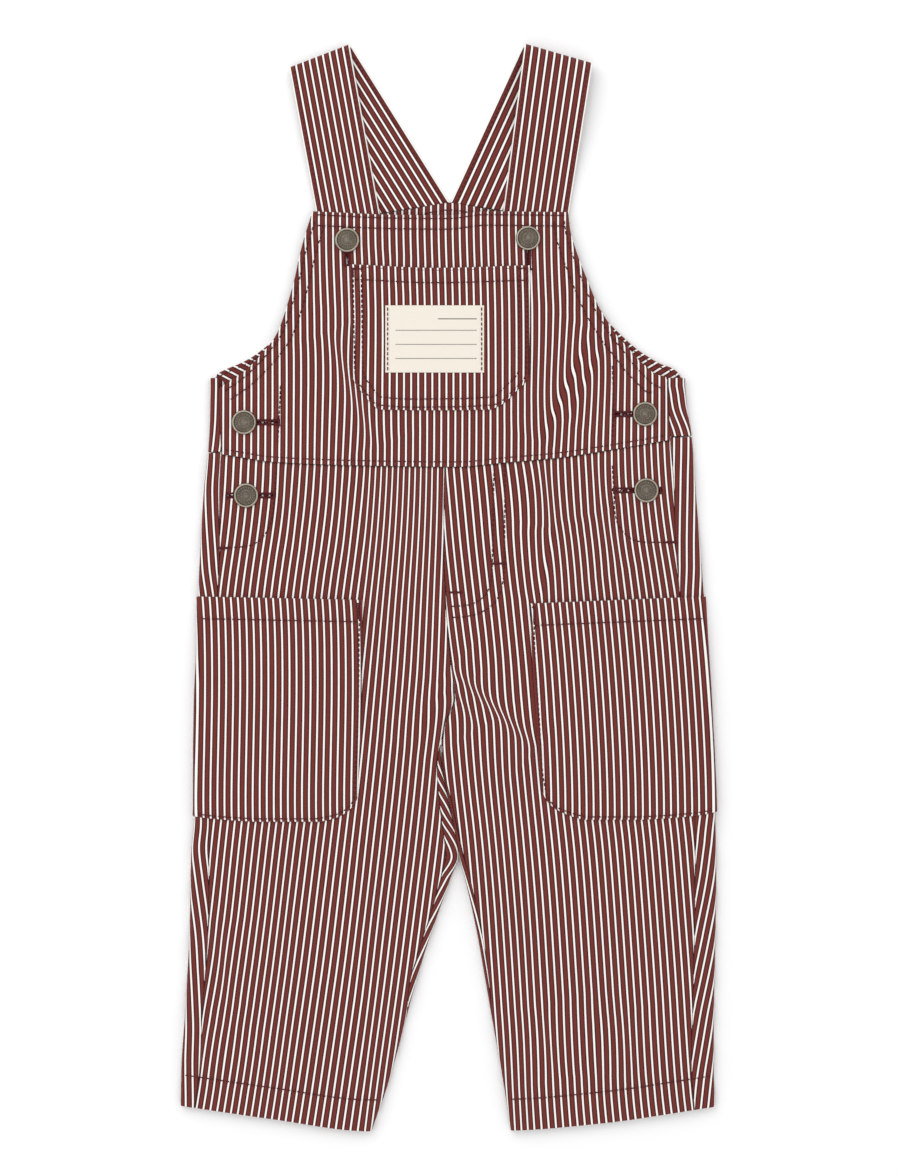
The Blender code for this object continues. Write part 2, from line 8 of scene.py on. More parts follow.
import bpy
import numpy as np
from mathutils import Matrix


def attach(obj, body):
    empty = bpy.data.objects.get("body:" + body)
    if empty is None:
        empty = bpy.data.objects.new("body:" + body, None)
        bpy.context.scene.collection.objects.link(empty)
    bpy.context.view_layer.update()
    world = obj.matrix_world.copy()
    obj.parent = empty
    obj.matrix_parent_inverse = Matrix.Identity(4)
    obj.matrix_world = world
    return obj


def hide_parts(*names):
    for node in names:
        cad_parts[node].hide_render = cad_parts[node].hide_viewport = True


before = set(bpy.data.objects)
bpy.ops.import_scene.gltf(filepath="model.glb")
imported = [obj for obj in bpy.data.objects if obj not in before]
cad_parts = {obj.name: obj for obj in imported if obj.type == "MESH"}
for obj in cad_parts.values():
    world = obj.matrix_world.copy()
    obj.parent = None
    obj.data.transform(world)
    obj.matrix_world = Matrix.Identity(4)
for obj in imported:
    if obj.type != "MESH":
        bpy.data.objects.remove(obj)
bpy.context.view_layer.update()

MM = 0.001


# ------------------------------------------------------------------ the studio
# A level, near-white floor under a wide overhead light, with a pale surround
# that fills the shadows. The camera looks straight down.

VIEW_LONG_SIDE = 0.6703        # metres of floor across the picture's long side
VIEW_CENTRE = (0.0006, -0.0003)
LENS, SENSOR = 100.0, 36.0

camera_data = bpy.data.cameras.new("camera")
camera_data.lens = LENS
camera_data.sensor_width = SENSOR
camera = bpy.data.objects.new("camera", camera_data)
camera.location = (*VIEW_CENTRE, VIEW_LONG_SIDE * LENS / SENSOR)
bpy.context.scene.collection.objects.link(camera)
bpy.context.scene.camera = camera

softbox_data = bpy.data.lights.new("softbox", "AREA")
softbox_data.shape = "RECTANGLE"
softbox_data.size, softbox_data.size_y = 1.6, 1.2
softbox_data.energy = 9.0
softbox = bpy.data.objects.new("softbox", softbox_data)
softbox.location = (-0.9, 1.1, 1.5)
softbox.rotation_euler = (math.radians(-36), math.radians(-29), 0.0)
bpy.context.scene.collection.objects.link(softbox)

surround = bpy.data.worlds.new("surround")
surround.use_nodes = True
surround.node_tree.nodes["Background"].inputs["Color"].default_value = (1.0, 1.0, 1.0, 1.0)
surround.node_tree.nodes["Background"].inputs["Strength"].default_value = 1.0
bpy.context.scene.world = surround
bpy.context.scene.view_settings.view_transform = "Standard"

floor_mesh = bpy.data.meshes.new("floor")
FLOOR_REACH, FLOOR_DROP = 3.0, 0.0004
floor_mesh.from_pydata(
    [(x * FLOOR_REACH, y * FLOOR_REACH, -FLOOR_DROP) for x, y in ((-1, -1), (1, -1), (1, 1), (-1, 1))],
    [], [(0, 1, 2, 3)],
)
floor = bpy.data.objects.new("floor", floor_mesh)
bpy.context.scene.collection.objects.link(floor)
floor_finish = bpy.data.materials.new("matt_white_floor")
floor_finish.use_nodes = True
floor_shader = floor_finish.node_tree.nodes["Principled BSDF"]
floor_shader.inputs["Base Color"].default_value = (0.93, 0.93, 0.93, 1.0)
floor_shader.inputs["Roughness"].default_value = 0.9
floor_shader.inputs["Specular IOR Level"].default_value = 0.1
floor_mesh.materials.append(floor_finish)


# ------------------------------------------------------------------ back legs
# Two panels of twill that lie on the floor and fold over at the outer sides and
# the inner legs, so the seams that join them to the fronts sit on top. They are
# made first, so the cloth, its finish and its thread are worked out here.

CLOTH = 1.0                    # one layer of twill
SEAM_GAP = 0.1
STACK = 4.4                    # floor to the top of the front panels
POCKET_STAND = SEAM_GAP + CLOTH
WAIST, HEM = 75.0, -302.0      # nominal heights of the waist seam and the hems
FINE = 1.5                     # spacing of the points of the cloth


class Table:
    """Rows of sizes under named columns, read at any value of the first column.

    Between rows the value follows a monotone cubic: the slope at a row is the
    harmonic mean of the slopes on its two sides, or nought at a turning point.
    """

    def __init__(self, columns, *rows):
        self.columns = columns.split()
        self.values = np.array(rows, float)

    def at(self, column, key):
        x, y = self.values[:, 0], self.values[:, self.columns.index(column)]
        key = np.clip(key, x[0], x[-1])
        chord = np.diff(y) / np.diff(x)
        before, after = chord[:-1], chord[1:]
        runs_on = before * after > 0
        mean = 2 * before * after / np.where(runs_on, before + after, 1)
        slope = np.concatenate([chord[:1], np.where(runs_on, mean, 0), chord[-1:]])
        k = np.clip(np.searchsorted(x, key, side="right") - 1, 0, len(x) - 2)
        step = x[k + 1] - x[k]
        t = (key - x[k]) / step
        start = (1 + 2 * t) * (1 - t) ** 2 * y[k] + t * (1 - t) ** 2 * step * slope[k]
        return start + t * t * (3 - 2 * t) * y[k + 1] + t * t * (t - 1) * step * slope[k + 1]

    def rows(self):
        return [dict(zip(self.columns, row)) for row in self.values]


# Each leg by height: its outer fold, side seam and inner edge, measured outwards
# from the middle, and how far the back is carried up round the inner edge.
LEFT_LEG = Table(
    "y outer seam inner wrap",
    (-302, 152.8, 144.6, 44.0, 0.0),
    (-276, 152.2, 141.6, 34.2, 0.0),
    (-249, 150.5, 140.6, 26.2, 0.0),
    (-221, 148.9, 138.6, 18.2, 4.8),
    (-194, 147.6, 137.0, 9.1, 5.2),
    (-166, 147.1, 136.5, -0.8, 6.8),
    (-152, 146.8, 136.5, -5.6, 8.8),
    (-127, 144.6, 136.2, -0.9, 7.0),
    (-95, 144.6, 135.5, 4.3, 3.0),
    (-79, 144.4, 135.0, 2.6, 0.0),
    (-63, 144.1, 134.5, -3.2, 0.0),
    (-36, 142.9, 133.5, -0.3, 0.0),
    (0, 142.5, 131.4, 2.2, 0.0),
    (25, 141.4, 130.5, 2.9, 0.0),
    (52, 139.7, 130.5, 2.9, 0.0),
    (78, 136.9, 129.6, 2.4, 0.0),
    (95, 136.2, 130.4, 2.4, 0.0),
    (112, 136.0, 131.0, 2.4, 0.0),
)
RIGHT_LEG = Table(
    "y outer seam inner wrap",
    (-302, 151.4, 139.6, 35.0, 0.0),
    (-276, 150.8, 137.9, 30.8, 0.0),
    (-249, 150.8, 138.4, 25.7, 0.0),
    (-221, 151.3, 139.1, 20.5, 3.5),
    (-194, 151.8, 139.7, 15.4, 4.0),
    (-166, 152.2, 140.0, 9.1, 4.2),
    (-152, 152.0, 140.1, 5.6, 3.8),
    (-127, 151.5, 139.9, 0.9, 3.0),
    (-95, 150.3, 138.5, -4.3, 1.0),
    (-79, 149.4, 137.5, -2.6, 0.0),
    (-63, 148.6, 136.5, 3.2, 0.0),
    (-36, 146.9, 134.0, 0.3, 0.0),
    (0, 144.8, 130.9, -2.2, 0.0),
    (25, 142.5, 128.8, -2.9, 0.0),
    (52, 140.2, 127.9, -2.9, 0.0),
    (78, 137.9, 125.6, -2.4, 0.0),
    (95, 135.4, 125.0, -2.4, 0.0),
    (112, 134.5, 124.3, -2.4, 0.0),
)
LEGS = {"left": (-1, LEFT_LEG), "right": (1, RIGHT_LEG)}

WAIST_CURVE = Table(
    "x rise", (-142, 2.6), (-129, 1.3), (-98, -3.2), (-49, -5.1), (5, -5.8),
    (32, -3.4), (62, -0.7), (93, 4.0), (124, 9.2), (140, 11.6),
)
BACK_WAIST_CURVE = Table("x rise", (-142, 1.8), (142, 11.4))
HEM_CURVE = Table("x rise", (-152, 7.0), (-102, -0.3), (-44, -7.4), (34, -7.0), (85, -3.1), (151, 6.5))
CROTCH_OPEN, CROTCH_SHUT = -49.0, -63.0

# Under the folded-in part of each side pocket the back leg is raised clear.
POCKET_LIFT = Table("y share", (-146, 0), (-135.5, 1), (-3.5, 1), (10, 0))
LIFT_REACH, LIFT_FADE, UNDER_REACH = 15.0, 7.0, 24.0

# Soft creases on the underside: a line, its height and its half-width.
UNDER_CREASES = Table(
    "x0 y0 x1 y1 height width",
    (-30, -70, -78, -118, 0.55, 7),
    (24, -66, 70, -104, 0.60, 8),
    (-96, -168, -88, -232, 0.45, 6),
    (78, -190, 96, -262, 0.50, 7),
    (-60, 40, -52, -12, 0.45, 6),
    (48, 52, 62, 2, 0.50, 7),
    (-20, 150, -34, 100, 0.40, 6),
    (30, 176, 52, 128, 0.45, 7),
)


def smooth(value):
    """Nought below 0, one above 1, and 3t^2 - 2t^3 between."""
    t = np.clip(value, 0, 1)
    return t * t * (3 - 2 * t)


def along_and_across(x, y, line):
    """Place beside a straight line: how far past its ends, along it and off it."""
    run_x, run_y = line["x1"] - line["x0"], line["y1"] - line["y0"]
    length = math.hypot(run_x, run_y)
    along = ((x - line["x0"]) * run_x + (y - line["y0"]) * run_y) / length
    across = ((y - line["y0"]) * run_x - (x - line["x0"]) * run_y) / length
    return along / length, across, np.maximum(np.abs(along - length / 2) - length / 2, 0)


def creased(x, y, creases):
    """Sum of soft ridges: height * exp(-(distance from the line / width)^2)."""
    total = np.zeros(np.broadcast(x, y).shape)
    for line in creases.rows():
        _, across, past = along_and_across(x, y, line)
        total += line["height"] * np.exp(-(across**2 + past**2) / line["width"] ** 2)
    return total


def strayed(x, y, waist_curve=WAIST_CURVE):
    """Bend level rows towards the curves of the waist seam and the hems."""
    near_waist = np.clip(y / WAIST, 0, 1) * np.clip((150 - y) / (150 - WAIST), 0, 1)
    near_hem = np.clip((-200 - y) / (-200 - HEM), 0, 1)
    return y + near_waist * waist_curve.at("rise", x) + near_hem * HEM_CURVE.at("rise", x)


def round_edge(along, radius, middle, sweep):
    """Carry a length of cloth round a folded edge.

    along runs over the top where positive and beneath where negative. The cloth
    turns through sweep on an arc, then runs level. Returns the distance in from
    the edge, the height, and the outward direction's two parts.
    """
    side = np.where(along < 0, -1.0, 1.0)
    left_to_turn = np.maximum(sweep - np.abs(along) / radius, 0)
    level = np.maximum(np.abs(along) - radius * sweep, 0)
    inward, upward = -np.sin(left_to_turn), side * np.cos(left_to_turn)
    return radius * (np.sin(sweep) + inward) + level, middle + radius * upward, inward, upward


def lift_at(y):
    return POCKET_STAND * POCKET_LIFT.at("share", y)


def outer_fold(leg, along, y, offset):
    """Round the outer side of a leg: distance from the middle line and height."""
    lift = lift_at(y)
    inset, height, inward, upward = round_edge(
        along, (STACK - lift) / 2, (STACK + lift) / 2, math.pi / 2)
    faded = lift * smooth((inset - LIFT_REACH) / LIFT_FADE) * (along < 0)
    return leg.at("outer", y) - inset - offset * inward, height + offset * upward - faded


def inner_fold(leg, along, y, offset):
    """Round the inner edge of a leg, which comes apart above the crotch."""
    closed = np.clip((CROTCH_OPEN - y) / (CROTCH_OPEN - CROTCH_SHUT), 0, 1)
    inset, height, inward, upward = round_edge(along, STACK / 2, STACK / 2, math.pi / 2 * closed)
    return leg.at("inner", y) + SEAM_GAP / 2 + inset + offset * inward, height + offset * upward


def seam_along(leg, y):
    """Length of cloth over the top from the outer fold to the side seam."""
    radius = (STACK - lift_at(y)) / 2
    return leg.at("outer", y) - leg.at("seam", y) - radius + math.pi / 2 * radius


def distance_to(x, y, path):
    """Least distance from each point to a line of points."""
    best = np.full(np.broadcast(x, y).shape, np.inf)
    path = np.asarray(path, float)
    for (ax, ay), (bx, by) in zip(path[:-1, :2], path[1:, :2]):
        run_x, run_y = bx - ax, by - ay
        t = np.clip(((x - ax) * run_x + (y - ay) * run_y) / (run_x**2 + run_y**2 + 1e-9), 0, 1)
        best = np.minimum(best, np.hypot(x - ax - t * run_x, y - ay - t * run_y))
    return best


def curve(*points, step=3.0):
    """A smooth line through a few places: a Catmull-Rom curve, evenly spaced."""
    p = np.array(points, float)
    p = np.concatenate([[2 * p[0] - p[1]], p, [2 * p[-1] - p[-2]]])
    t = np.linspace(0, 1, 12, endpoint=False)[:, None]
    pieces = [
        0.5 * (2 * b + (c - a) * t + (2 * a - 5 * b + 4 * c - d) * t**2 + (3 * b - a - 3 * c + d) * t**3)
        for a, b, c, d in zip(p[:-3], p[1:-2], p[2:-1], p[3:])
    ]
    line = np.concatenate(pieces + [p[-2:-1]])
    run = np.concatenate([[0], np.cumsum(np.linalg.norm(np.diff(line, axis=0), axis=1))])
    even = np.linspace(0, run[-1], max(2, round(run[-1] / step) + 1))
    return np.stack([np.interp(even, run, line[:, k]) for k in range(p.shape[1])], axis=1)


def beside(path, distance):
    """A line of points moved off to its left by a distance."""
    run = np.gradient(path, axis=0)
    run /= np.linalg.norm(run, axis=1, keepdims=True)
    return path + distance * np.stack([-run[:, 1], run[:, 0]], axis=1)


STITCH_PRESS, STITCH_PRESS_WIDTH = 0.35, 1.3


def pressed(x, y, paths):
    """How deep the rows of stitches press the cloth: a soft groove along each."""
    depth = np.zeros(np.broadcast(x, y).shape)
    for path in paths:
        path = np.asarray(path)
        near = (
            (x > path[:, 0].min() - 5) & (x < path[:, 0].max() + 5)
            & (y > path[:, 1].min() - 5) & (y < path[:, 1].max() + 5)
        )
        away = distance_to(x[near], y[near], path)
        groove = STITCH_PRESS * np.exp(-((away / STITCH_PRESS_WIDTH) ** 2))
        depth[near] = np.maximum(depth[near], groove)
    return depth


def put(name, points, quads, finish, maps, body="root", sharp=60.0):
    """Make a mesh of quads, with a map of two numbers per point for its finish."""
    mesh = bpy.data.meshes.new(name)
    mesh.vertices.add(len(points))
    mesh.vertices.foreach_set("co", (np.asarray(points) * MM).astype(np.float32).ravel())
    mesh.loops.add(quads.size)
    mesh.loops.foreach_set("vertex_index", quads.astype(np.int32).ravel())
    mesh.polygons.add(len(quads))
    mesh.polygons.foreach_set("loop_start", np.arange(0, quads.size, 4, dtype=np.int32))
    mesh.update(calc_edges=True)
    for layer_name, values in maps.items():
        layer = mesh.uv_layers.new(name=layer_name)
        layer.uv.foreach_set("vector", values[quads.ravel()].astype(np.float32).ravel())
    mesh.shade_smooth()
    if sharp:
        mesh.set_sharp_from_angle(angle=math.radians(sharp))
    mesh.materials.append(finish)
    piece = bpy.data.objects.new(name, mesh)
    bpy.context.scene.collection.objects.link(piece)
    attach(piece, body)
    return piece


EDGE_ROUND = 0.25              # how far an edge draws in, of the thickness


def wall(surface, thickness, present=None, flip=False):
    """Points and quads of a closed wall of cloth with a rounded edge.

    surface(offset) gives the grid of points at that distance off the outer face.
    At the edge both faces draw in a little, and a middle line joins them.
    """
    outer, inner, middle = surface(0.0), surface(-thickness), surface(-thickness / 2)
    rows, columns, _ = outer.shape
    if present is None:
        present = np.ones((rows - 1, columns - 1), bool)
    index = np.arange(rows * columns).reshape(rows, columns)
    corners = (index[:-1, :-1], index[:-1, 1:], index[1:, 1:], index[1:, :-1])
    front = np.stack([corner[present] for corner in corners], axis=1)
    if flip:
        front = front[:, ::-1]
    starts, ends = front.ravel(), np.roll(front, -1, axis=1).ravel()
    size = index.size
    lone = ~np.isin(starts * size + ends, ends * size + starts)
    edge_start, edge_end = starts[lone], ends[lone]
    on_edge = np.unique(edge_start)
    used = np.zeros(size, bool)
    used[front.ravel()] = True
    is_edge = np.zeros(size, bool)
    is_edge[on_edge] = True
    inside = np.pad((used & ~is_edge).reshape(rows, columns), 1)
    faces = []
    for face in (outer, inner):
        padded = np.pad(face, ((1, 1), (1, 1), (0, 0)), mode="edge")
        draw = np.zeros_like(face)
        for ring in (((0, 1), (1, 0), (0, -1), (-1, 0)), ((1, 1), (1, -1), (-1, 1), (-1, -1))):
            still = ~draw.any(axis=2)
            for down, right in ring:
                window = (slice(1 + down, 1 + down + rows), slice(1 + right, 1 + right + columns))
                way = padded[window] - face
                way = way / (np.linalg.norm(way, axis=2, keepdims=True) + 1e-9)
                draw += way * (inside[window] & still)[..., None]
        length = np.linalg.norm(draw, axis=2, keepdims=True)
        draw = draw / np.maximum(length, 1e-9) * (length > 1e-6) * is_edge.reshape(rows, columns, 1)
        faces.append((face + draw * thickness * EDGE_ROUND).reshape(-1, 3))
    middle_of = np.full(size, -1)
    middle_of[on_edge] = 2 * size + np.arange(on_edge.size)
    points = np.concatenate(faces + [middle.reshape(-1, 3)[on_edge]])
    upper = np.stack([edge_end, edge_start, middle_of[edge_start], middle_of[edge_end]], axis=1)
    lower = np.stack(
        [middle_of[edge_end], middle_of[edge_start], edge_start + size, edge_end + size], axis=1)
    quads = np.concatenate([front, front[:, ::-1] + size, upper, lower])
    source = np.concatenate([np.arange(size), np.arange(size), on_edge])
    kept, quads = np.unique(quads, return_inverse=True)
    return points[kept], quads.reshape(-1, 4), source[kept]


def cloth(name, surface, grain, finish, nodes, thickness=CLOTH, present=None,
          flat=None):
    """Make one cut piece of cloth and work out the flat size that it was cut to.

    grain holds, for each point of the grid, its place on the flat cloth: across
    the stripes and along them. The cut's area is the area of that flat grid.
    """
    outer = surface(0.0)
    cells = grain[:-1, :-1], grain[:-1, 1:], grain[1:, 1:], grain[1:, :-1]
    diagonals = cells[2] - cells[0], cells[3] - cells[1]
    turned = diagonals[0][..., 0] * diagonals[1][..., 1] - diagonals[0][..., 1] * diagonals[1][..., 0]
    outward = np.cross(outer[1:, 1:] - outer[:-1, :-1], outer[1:, :-1] - outer[:-1, 1:])
    lifted = surface(1.0)[:-1, :-1] - outer[:-1, :-1]
    flip = float((outward * lifted).sum()) < 0
    points, quads, source = wall(surface, thickness, present, flip)
    piece = put(name, points, quads, finish, {"grain": grain.reshape(-1, 2)[source]})
    kept = np.ones(turned.shape, bool) if present is None else present
    width, length = (grain[..., k].max() - grain[..., k].min() for k in (0, 1))
    width, length = flat or (width, length)
    area = min(float(np.abs(turned[kept]).sum()) / 2, width * length)
    width * MM
    length * MM
    area * MM * MM
    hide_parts(*nodes)
    return piece


class Number:
    """A number that varies over a surface. Operators on it add Math nodes."""

    def __init__(self, making, socket):
        self.making, self.socket = making, socket

    def worked(self, operation, *values):
        return self.making.node("ShaderNodeMath", {"operation": operation}, dict(enumerate(values)))

    def __add__(self, other):
        return self.worked("ADD", self, other)

    def __radd__(self, other):
        return self.worked("ADD", other, self)

    def __sub__(self, other):
        return self.worked("SUBTRACT", self, other)

    def __rsub__(self, other):
        return self.worked("SUBTRACT", other, self)

    def __mul__(self, other):
        return self.worked("MULTIPLY", self, other)

    def __rmul__(self, other):
        return self.worked("MULTIPLY", other, self)

    def __truediv__(self, other):
        return self.worked("DIVIDE", self, other)

    def part(self):
        """What is left over after the whole number."""
        return self.worked("FRACT", self)

    def size(self):
        return self.worked("ABSOLUTE", self)

    def wave(self):
        """Sine of the number, which is in radians."""
        return self.worked("SINE", self)

    def soft_step(self, low, high):
        """Rises from nought at low to one at high."""
        settings = {"interpolation_type": "SMOOTHSTEP"}
        return self.making.node("ShaderNodeMapRange", settings, {0: self, 1: low, 2: high})


class Making:
    """A finish being made: nodes are added to its tree and joined to its shader."""

    def __init__(self, name, **constants):
        self.material = bpy.data.materials.new(name)
        self.material.use_nodes = True
        self.nodes, self.links = self.material.node_tree.nodes, self.material.node_tree.links
        self.shader = self.nodes["Principled BSDF"]
        for socket, value in constants.items():
            self.shader.inputs[socket.replace("_", " ")].default_value = value

    def node(self, kind, settings, values, output=0):
        """Add a node: its settings first, then what its sockets hold."""
        made = self.nodes.new(kind)
        for setting, value in settings.items():
            setattr(made, setting, value)
        for socket, value in values.items():
            self.feed(made.inputs[socket], value)
        return Number(self, made.outputs[output])

    def feed(self, socket, value):
        if isinstance(value, Number):
            self.links.new(value.socket, socket)
        else:
            socket.default_value = value

    def mapped(self, name):
        """The two numbers that a piece's own map holds at each point."""
        place = self.node("ShaderNodeUVMap", {"uv_map": name}, {})
        split = self.node("ShaderNodeSeparateXYZ", {}, {0: place})
        return split, Number(self, split.socket.node.outputs[1])

    def vector(self, x, y, z=0.0):
        return self.node("ShaderNodeCombineXYZ", {}, {0: x, 1: y, 2: z})

    def noise(self, place, scale, detail=2.0):
        """Soft random values about one half."""
        values = {"Vector": place, "Scale": scale, "Detail": detail}
        return self.node("ShaderNodeTexNoise", {}, values)

    def mixed(self, share, first, second):
        """A colour between two colours."""
        return self.node(
            "ShaderNodeMix", {"data_type": "RGBA"}, {0: share, 6: first, 7: second}, output=2)

    def shaded(self, colour, light):
        """A colour made lighter or darker by a number about one."""
        return self.node(
            "ShaderNodeMix", {"data_type": "RGBA", "blend_type": "MULTIPLY"},
            {0: 1.0, 6: colour, 7: self.vector(light, light, light)}, output=2)

    def bump(self, height, depth):
        """Feed a height, with its depth in metres, to the shader's normal."""
        values = {"Height": height, "Distance": depth, "Strength": 1.0}
        self.feed(self.shader.inputs["Normal"], self.node("ShaderNodeBump", {}, values))


def srgb(red, green, blue):
    """A colour as screens give it, 0 to 255, turned into light."""
    return tuple(
        c / 12.92 if c <= 0.04045 else ((c + 0.055) / 1.055) ** 2.4
        for c in (red / 255, green / 255, blue / 255)
    ) + (1.0,)


STRIPE_REPEAT = 4.0            # one white and one burgundy stripe
WHITE_STRIPE = 1.0
STRIPE_SOFT = 0.09
WALE = 0.62                    # from one rib of the twill to the next
YARN = 0.26


def striped_twill():
    """Yarn-dyed twill: white stripes between burgundy ones, the burgundy painted darker at its sides as
    shade.

    The distance from the middle of the nearest white stripe picks the yarn's
    colour, and darkens the burgundy towards its sides as painted shade. Ribs run
    diagonally, as the sum of the two flat places; they are bumped and are also
    painted lighter and darker as light and shade. Fine streaks along the yarns
    vary the colour.
    """
    made = Making("striped_twill", Roughness=0.88, Specular_IOR_Level=0.18, Sheen_Weight=0.06)
    across, along = made.mapped("grain")
    streaks = made.noise(made.vector(across / YARN, along / 9.0), 1.0)
    fuzz = made.noise(made.vector(across / 0.5, along / 0.5), 1.0, 3.0)
    wander = (streaks - 0.5) * 0.10 + (fuzz - 0.5) * 0.16
    away = ((across / STRIPE_REPEAT).part() - 0.5).size() * STRIPE_REPEAT + wander
    edge = WHITE_STRIPE / 2
    is_burgundy = away.soft_step(edge - STRIPE_SOFT, edge + STRIPE_SOFT)
    # Painted shade: the burgundy goes from a dark tone at its sides to a lighter one in its body, as if each
    # stripe were a rounded rib.
    clear_of_painted_side_shade = away.soft_step(edge + 0.25, edge + 0.95)
    rib = ((across * 0.9 + along * 0.45) * (2 * math.pi / WALE)).wave() * 0.5 + 0.5
    burgundy = made.mixed(clear_of_painted_side_shade, srgb(58, 16, 15), srgb(117, 50, 45))
    # The diagonal ribs also make both colours lighter and darker: painted light and shade of the twill's
    # relief, on top of its bump. The streaks and fuzz vary the yarn's own tone.
    burgundy = made.shaded(burgundy, 0.86 + 0.16 * rib + (streaks - 0.5) * 0.34)
    white = made.shaded(srgb(250, 247, 243), 0.95 + 0.05 * rib + (fuzz - 0.5) * 0.10)
    cloudy = made.noise(made.vector(across / 45.0, along / 60.0), 1.0)
    colour = made.shaded(made.mixed(is_burgundy, white, burgundy), 0.97 + (cloudy - 0.5) * 0.12)
    made.feed(made.shader.inputs["Base Color"], colour)
    made.feed(made.shader.inputs["Roughness"], 0.80 + 0.14 * fuzz)
    made.bump(rib * 0.7 + fuzz * 0.5 + streaks * 0.4, 0.00007)
    return made.material


def sewing_thread():
    """Dark burgundy polyester thread with a fine twist."""
    made = Making("sewing_thread", Roughness=0.6, Specular_IOR_Level=0.3)
    across, along = made.mapped("twist")
    twist = ((across + along * 0.6) * (2 * math.pi / 0.5)).wave() * 0.5 + 0.5
    # The twist's ridges are painted lighter and its grooves darker, as light and shade, besides the bump.
    made.feed(made.shader.inputs["Base Color"], made.mixed(twist, srgb(66, 12, 20), srgb(98, 24, 32)))
    made.bump(twist, 0.00004)
    return made.material


TWILL = striped_twill()
THREAD = sewing_thread()

STITCH_PITCH, STITCH_LENGTH = 2.9, 2.3
THREAD_RADIUS = 0.33


def stitch_places(path, pitch=STITCH_PITCH):
    """Middles and directions of the stitches along a line, evenly spaced."""
    path = np.asarray(path, float)
    run = np.concatenate([[0], np.cumsum(np.linalg.norm(np.diff(path, axis=0), axis=1))])
    count = max(1, round(run[-1] / pitch))
    at = (np.arange(count) + 0.5) * run[-1] / count
    ends = [
        np.stack([np.interp(at + shift, run, path[:, k]) for k in range(3)], axis=1)
        for shift in (-0.4 * pitch, 0.4 * pitch)
    ]
    way = ends[1] - ends[0]
    return (ends[0] + ends[1]) / 2, way / np.linalg.norm(way, axis=1, keepdims=True)


def sew(name, rows, tacks=(), up=1.0):
    """Make stitches as one piece: rows of long ones, and tacks of short ones.

    A stitch is a thread of six sides whose ends dip into the cloth. rows are
    lines of points. Each tack is a middle, a direction, a length and a radius.
    """
    middles, ways, lengths, radii = [], [], [], []
    for path in rows:
        middle, way = stitch_places(path)
        middles.append(middle)
        ways.append(way)
        lengths.append(np.full(len(middle), STITCH_LENGTH))
        radii.append(np.full(len(middle), THREAD_RADIUS))
    for middle, way, length, radius in tacks:
        middles.append(np.asarray(middle, float).reshape(-1, 3))
        ways.append(np.asarray(way, float).reshape(-1, 3))
        lengths.append(np.full(len(middles[-1]), length))
        radii.append(np.full(len(middles[-1]), radius))
    middle, way = np.concatenate(middles)[:, None], np.concatenate(ways)[:, None]
    length = np.concatenate(lengths)[:, None, None]
    radius = np.concatenate(radii)[:, None, None]
    side = np.cross((0.0, 0.0, up), way)
    side /= np.linalg.norm(side, axis=2, keepdims=True)
    above = np.cross(way, side)
    ring = np.repeat(np.array([-1.0, -0.6, 0.6, 1.0]), 6)[None, :, None]
    fat = np.repeat(np.array([0.45, 1.0, 1.0, 0.45]), 6)[None, :, None]
    sink = np.repeat(np.array([-1.3, 0.3, 0.3, -1.3]), 6)[None, :, None]
    turn = np.tile(np.arange(6) * math.pi / 3, 4)[None, :, None]
    points = (
        middle + way * ring * length / 2 + side * np.cos(turn) * fat * radius
        + above * (np.sin(turn) * fat + sink) * radius
    )
    k = np.arange(6)
    quads = [np.stack([r * 6 + k, r * 6 + (k + 1) % 6, r * 6 + 6 + (k + 1) % 6, r * 6 + 6 + k], axis=1)
             for r in range(3)]
    caps = np.array([(3, 2, 1, 0), (5, 4, 3, 0), (18, 19, 20, 21), (18, 21, 22, 23)])
    quads = np.concatenate(quads + [caps])
    count = len(middle)
    quads = (quads[None] + 24 * np.arange(count)[:, None, None]).reshape(-1, 4)
    twist = np.stack(np.broadcast_arrays(ring * length / 2, turn * radius), axis=-1)
    piece = put(name, points.reshape(-1, 3), quads, THREAD, {"twist": twist.reshape(-1, 2)}, sharp=0)
    return piece


def bar_tack(start, end, height, width=1.5, pitch=0.42):
    """Close zigzag stitches across a short line, as one tack entry."""
    start, end = np.array(start, float), np.array(end, float)
    count = max(2, round(np.linalg.norm(end - start) / pitch))
    places = start + (end - start) * np.linspace(0, 1, count)[:, None]
    run = (end - start) / np.linalg.norm(end - start)
    across = np.tile(np.array((-run[1], run[0], 0.0)), (count, 1))
    across[::2, :2] += run * 0.25
    middle = np.column_stack([places, height(places[:, 0], places[:, 1]) + 0.12])
    return middle, across, width, THREAD_RADIUS * 0.95


def on(path, height, above=0.02):
    """Lay a flat line of points on a surface."""
    path = np.asarray(path)
    return np.column_stack([path, height(path[:, 0], path[:, 1]) + above])


GRAIN_LEVEL = -100.0           # where stripes are evenly spaced


def drift(x, y, leans, stations):
    """How far stripes have moved sideways at a height, from their leans.

    leans holds the stripes' lean in degrees by height, a column for each station
    across. The sideways shift is the integral of the lean's tangent, read
    between stations along straight lines.
    """
    heights = np.arange(-316.0, 240.0, 4.0)
    shifts = []
    for name in leans.columns[1:]:
        slope = np.tan(np.radians(leans.at(name, heights)))
        total = np.concatenate([[0], np.cumsum((slope[1:] + slope[:-1]) / 2 * 4.0)])
        total -= np.interp(GRAIN_LEVEL, heights, total)
        shifts.append(np.interp(y, heights, total))
    if len(shifts) == 1:
        return shifts[0]
    place = np.interp(x, stations, np.arange(len(stations)))
    return sum(np.clip(1 - np.abs(place - k), 0, 1) * shift for k, shift in enumerate(shifts))


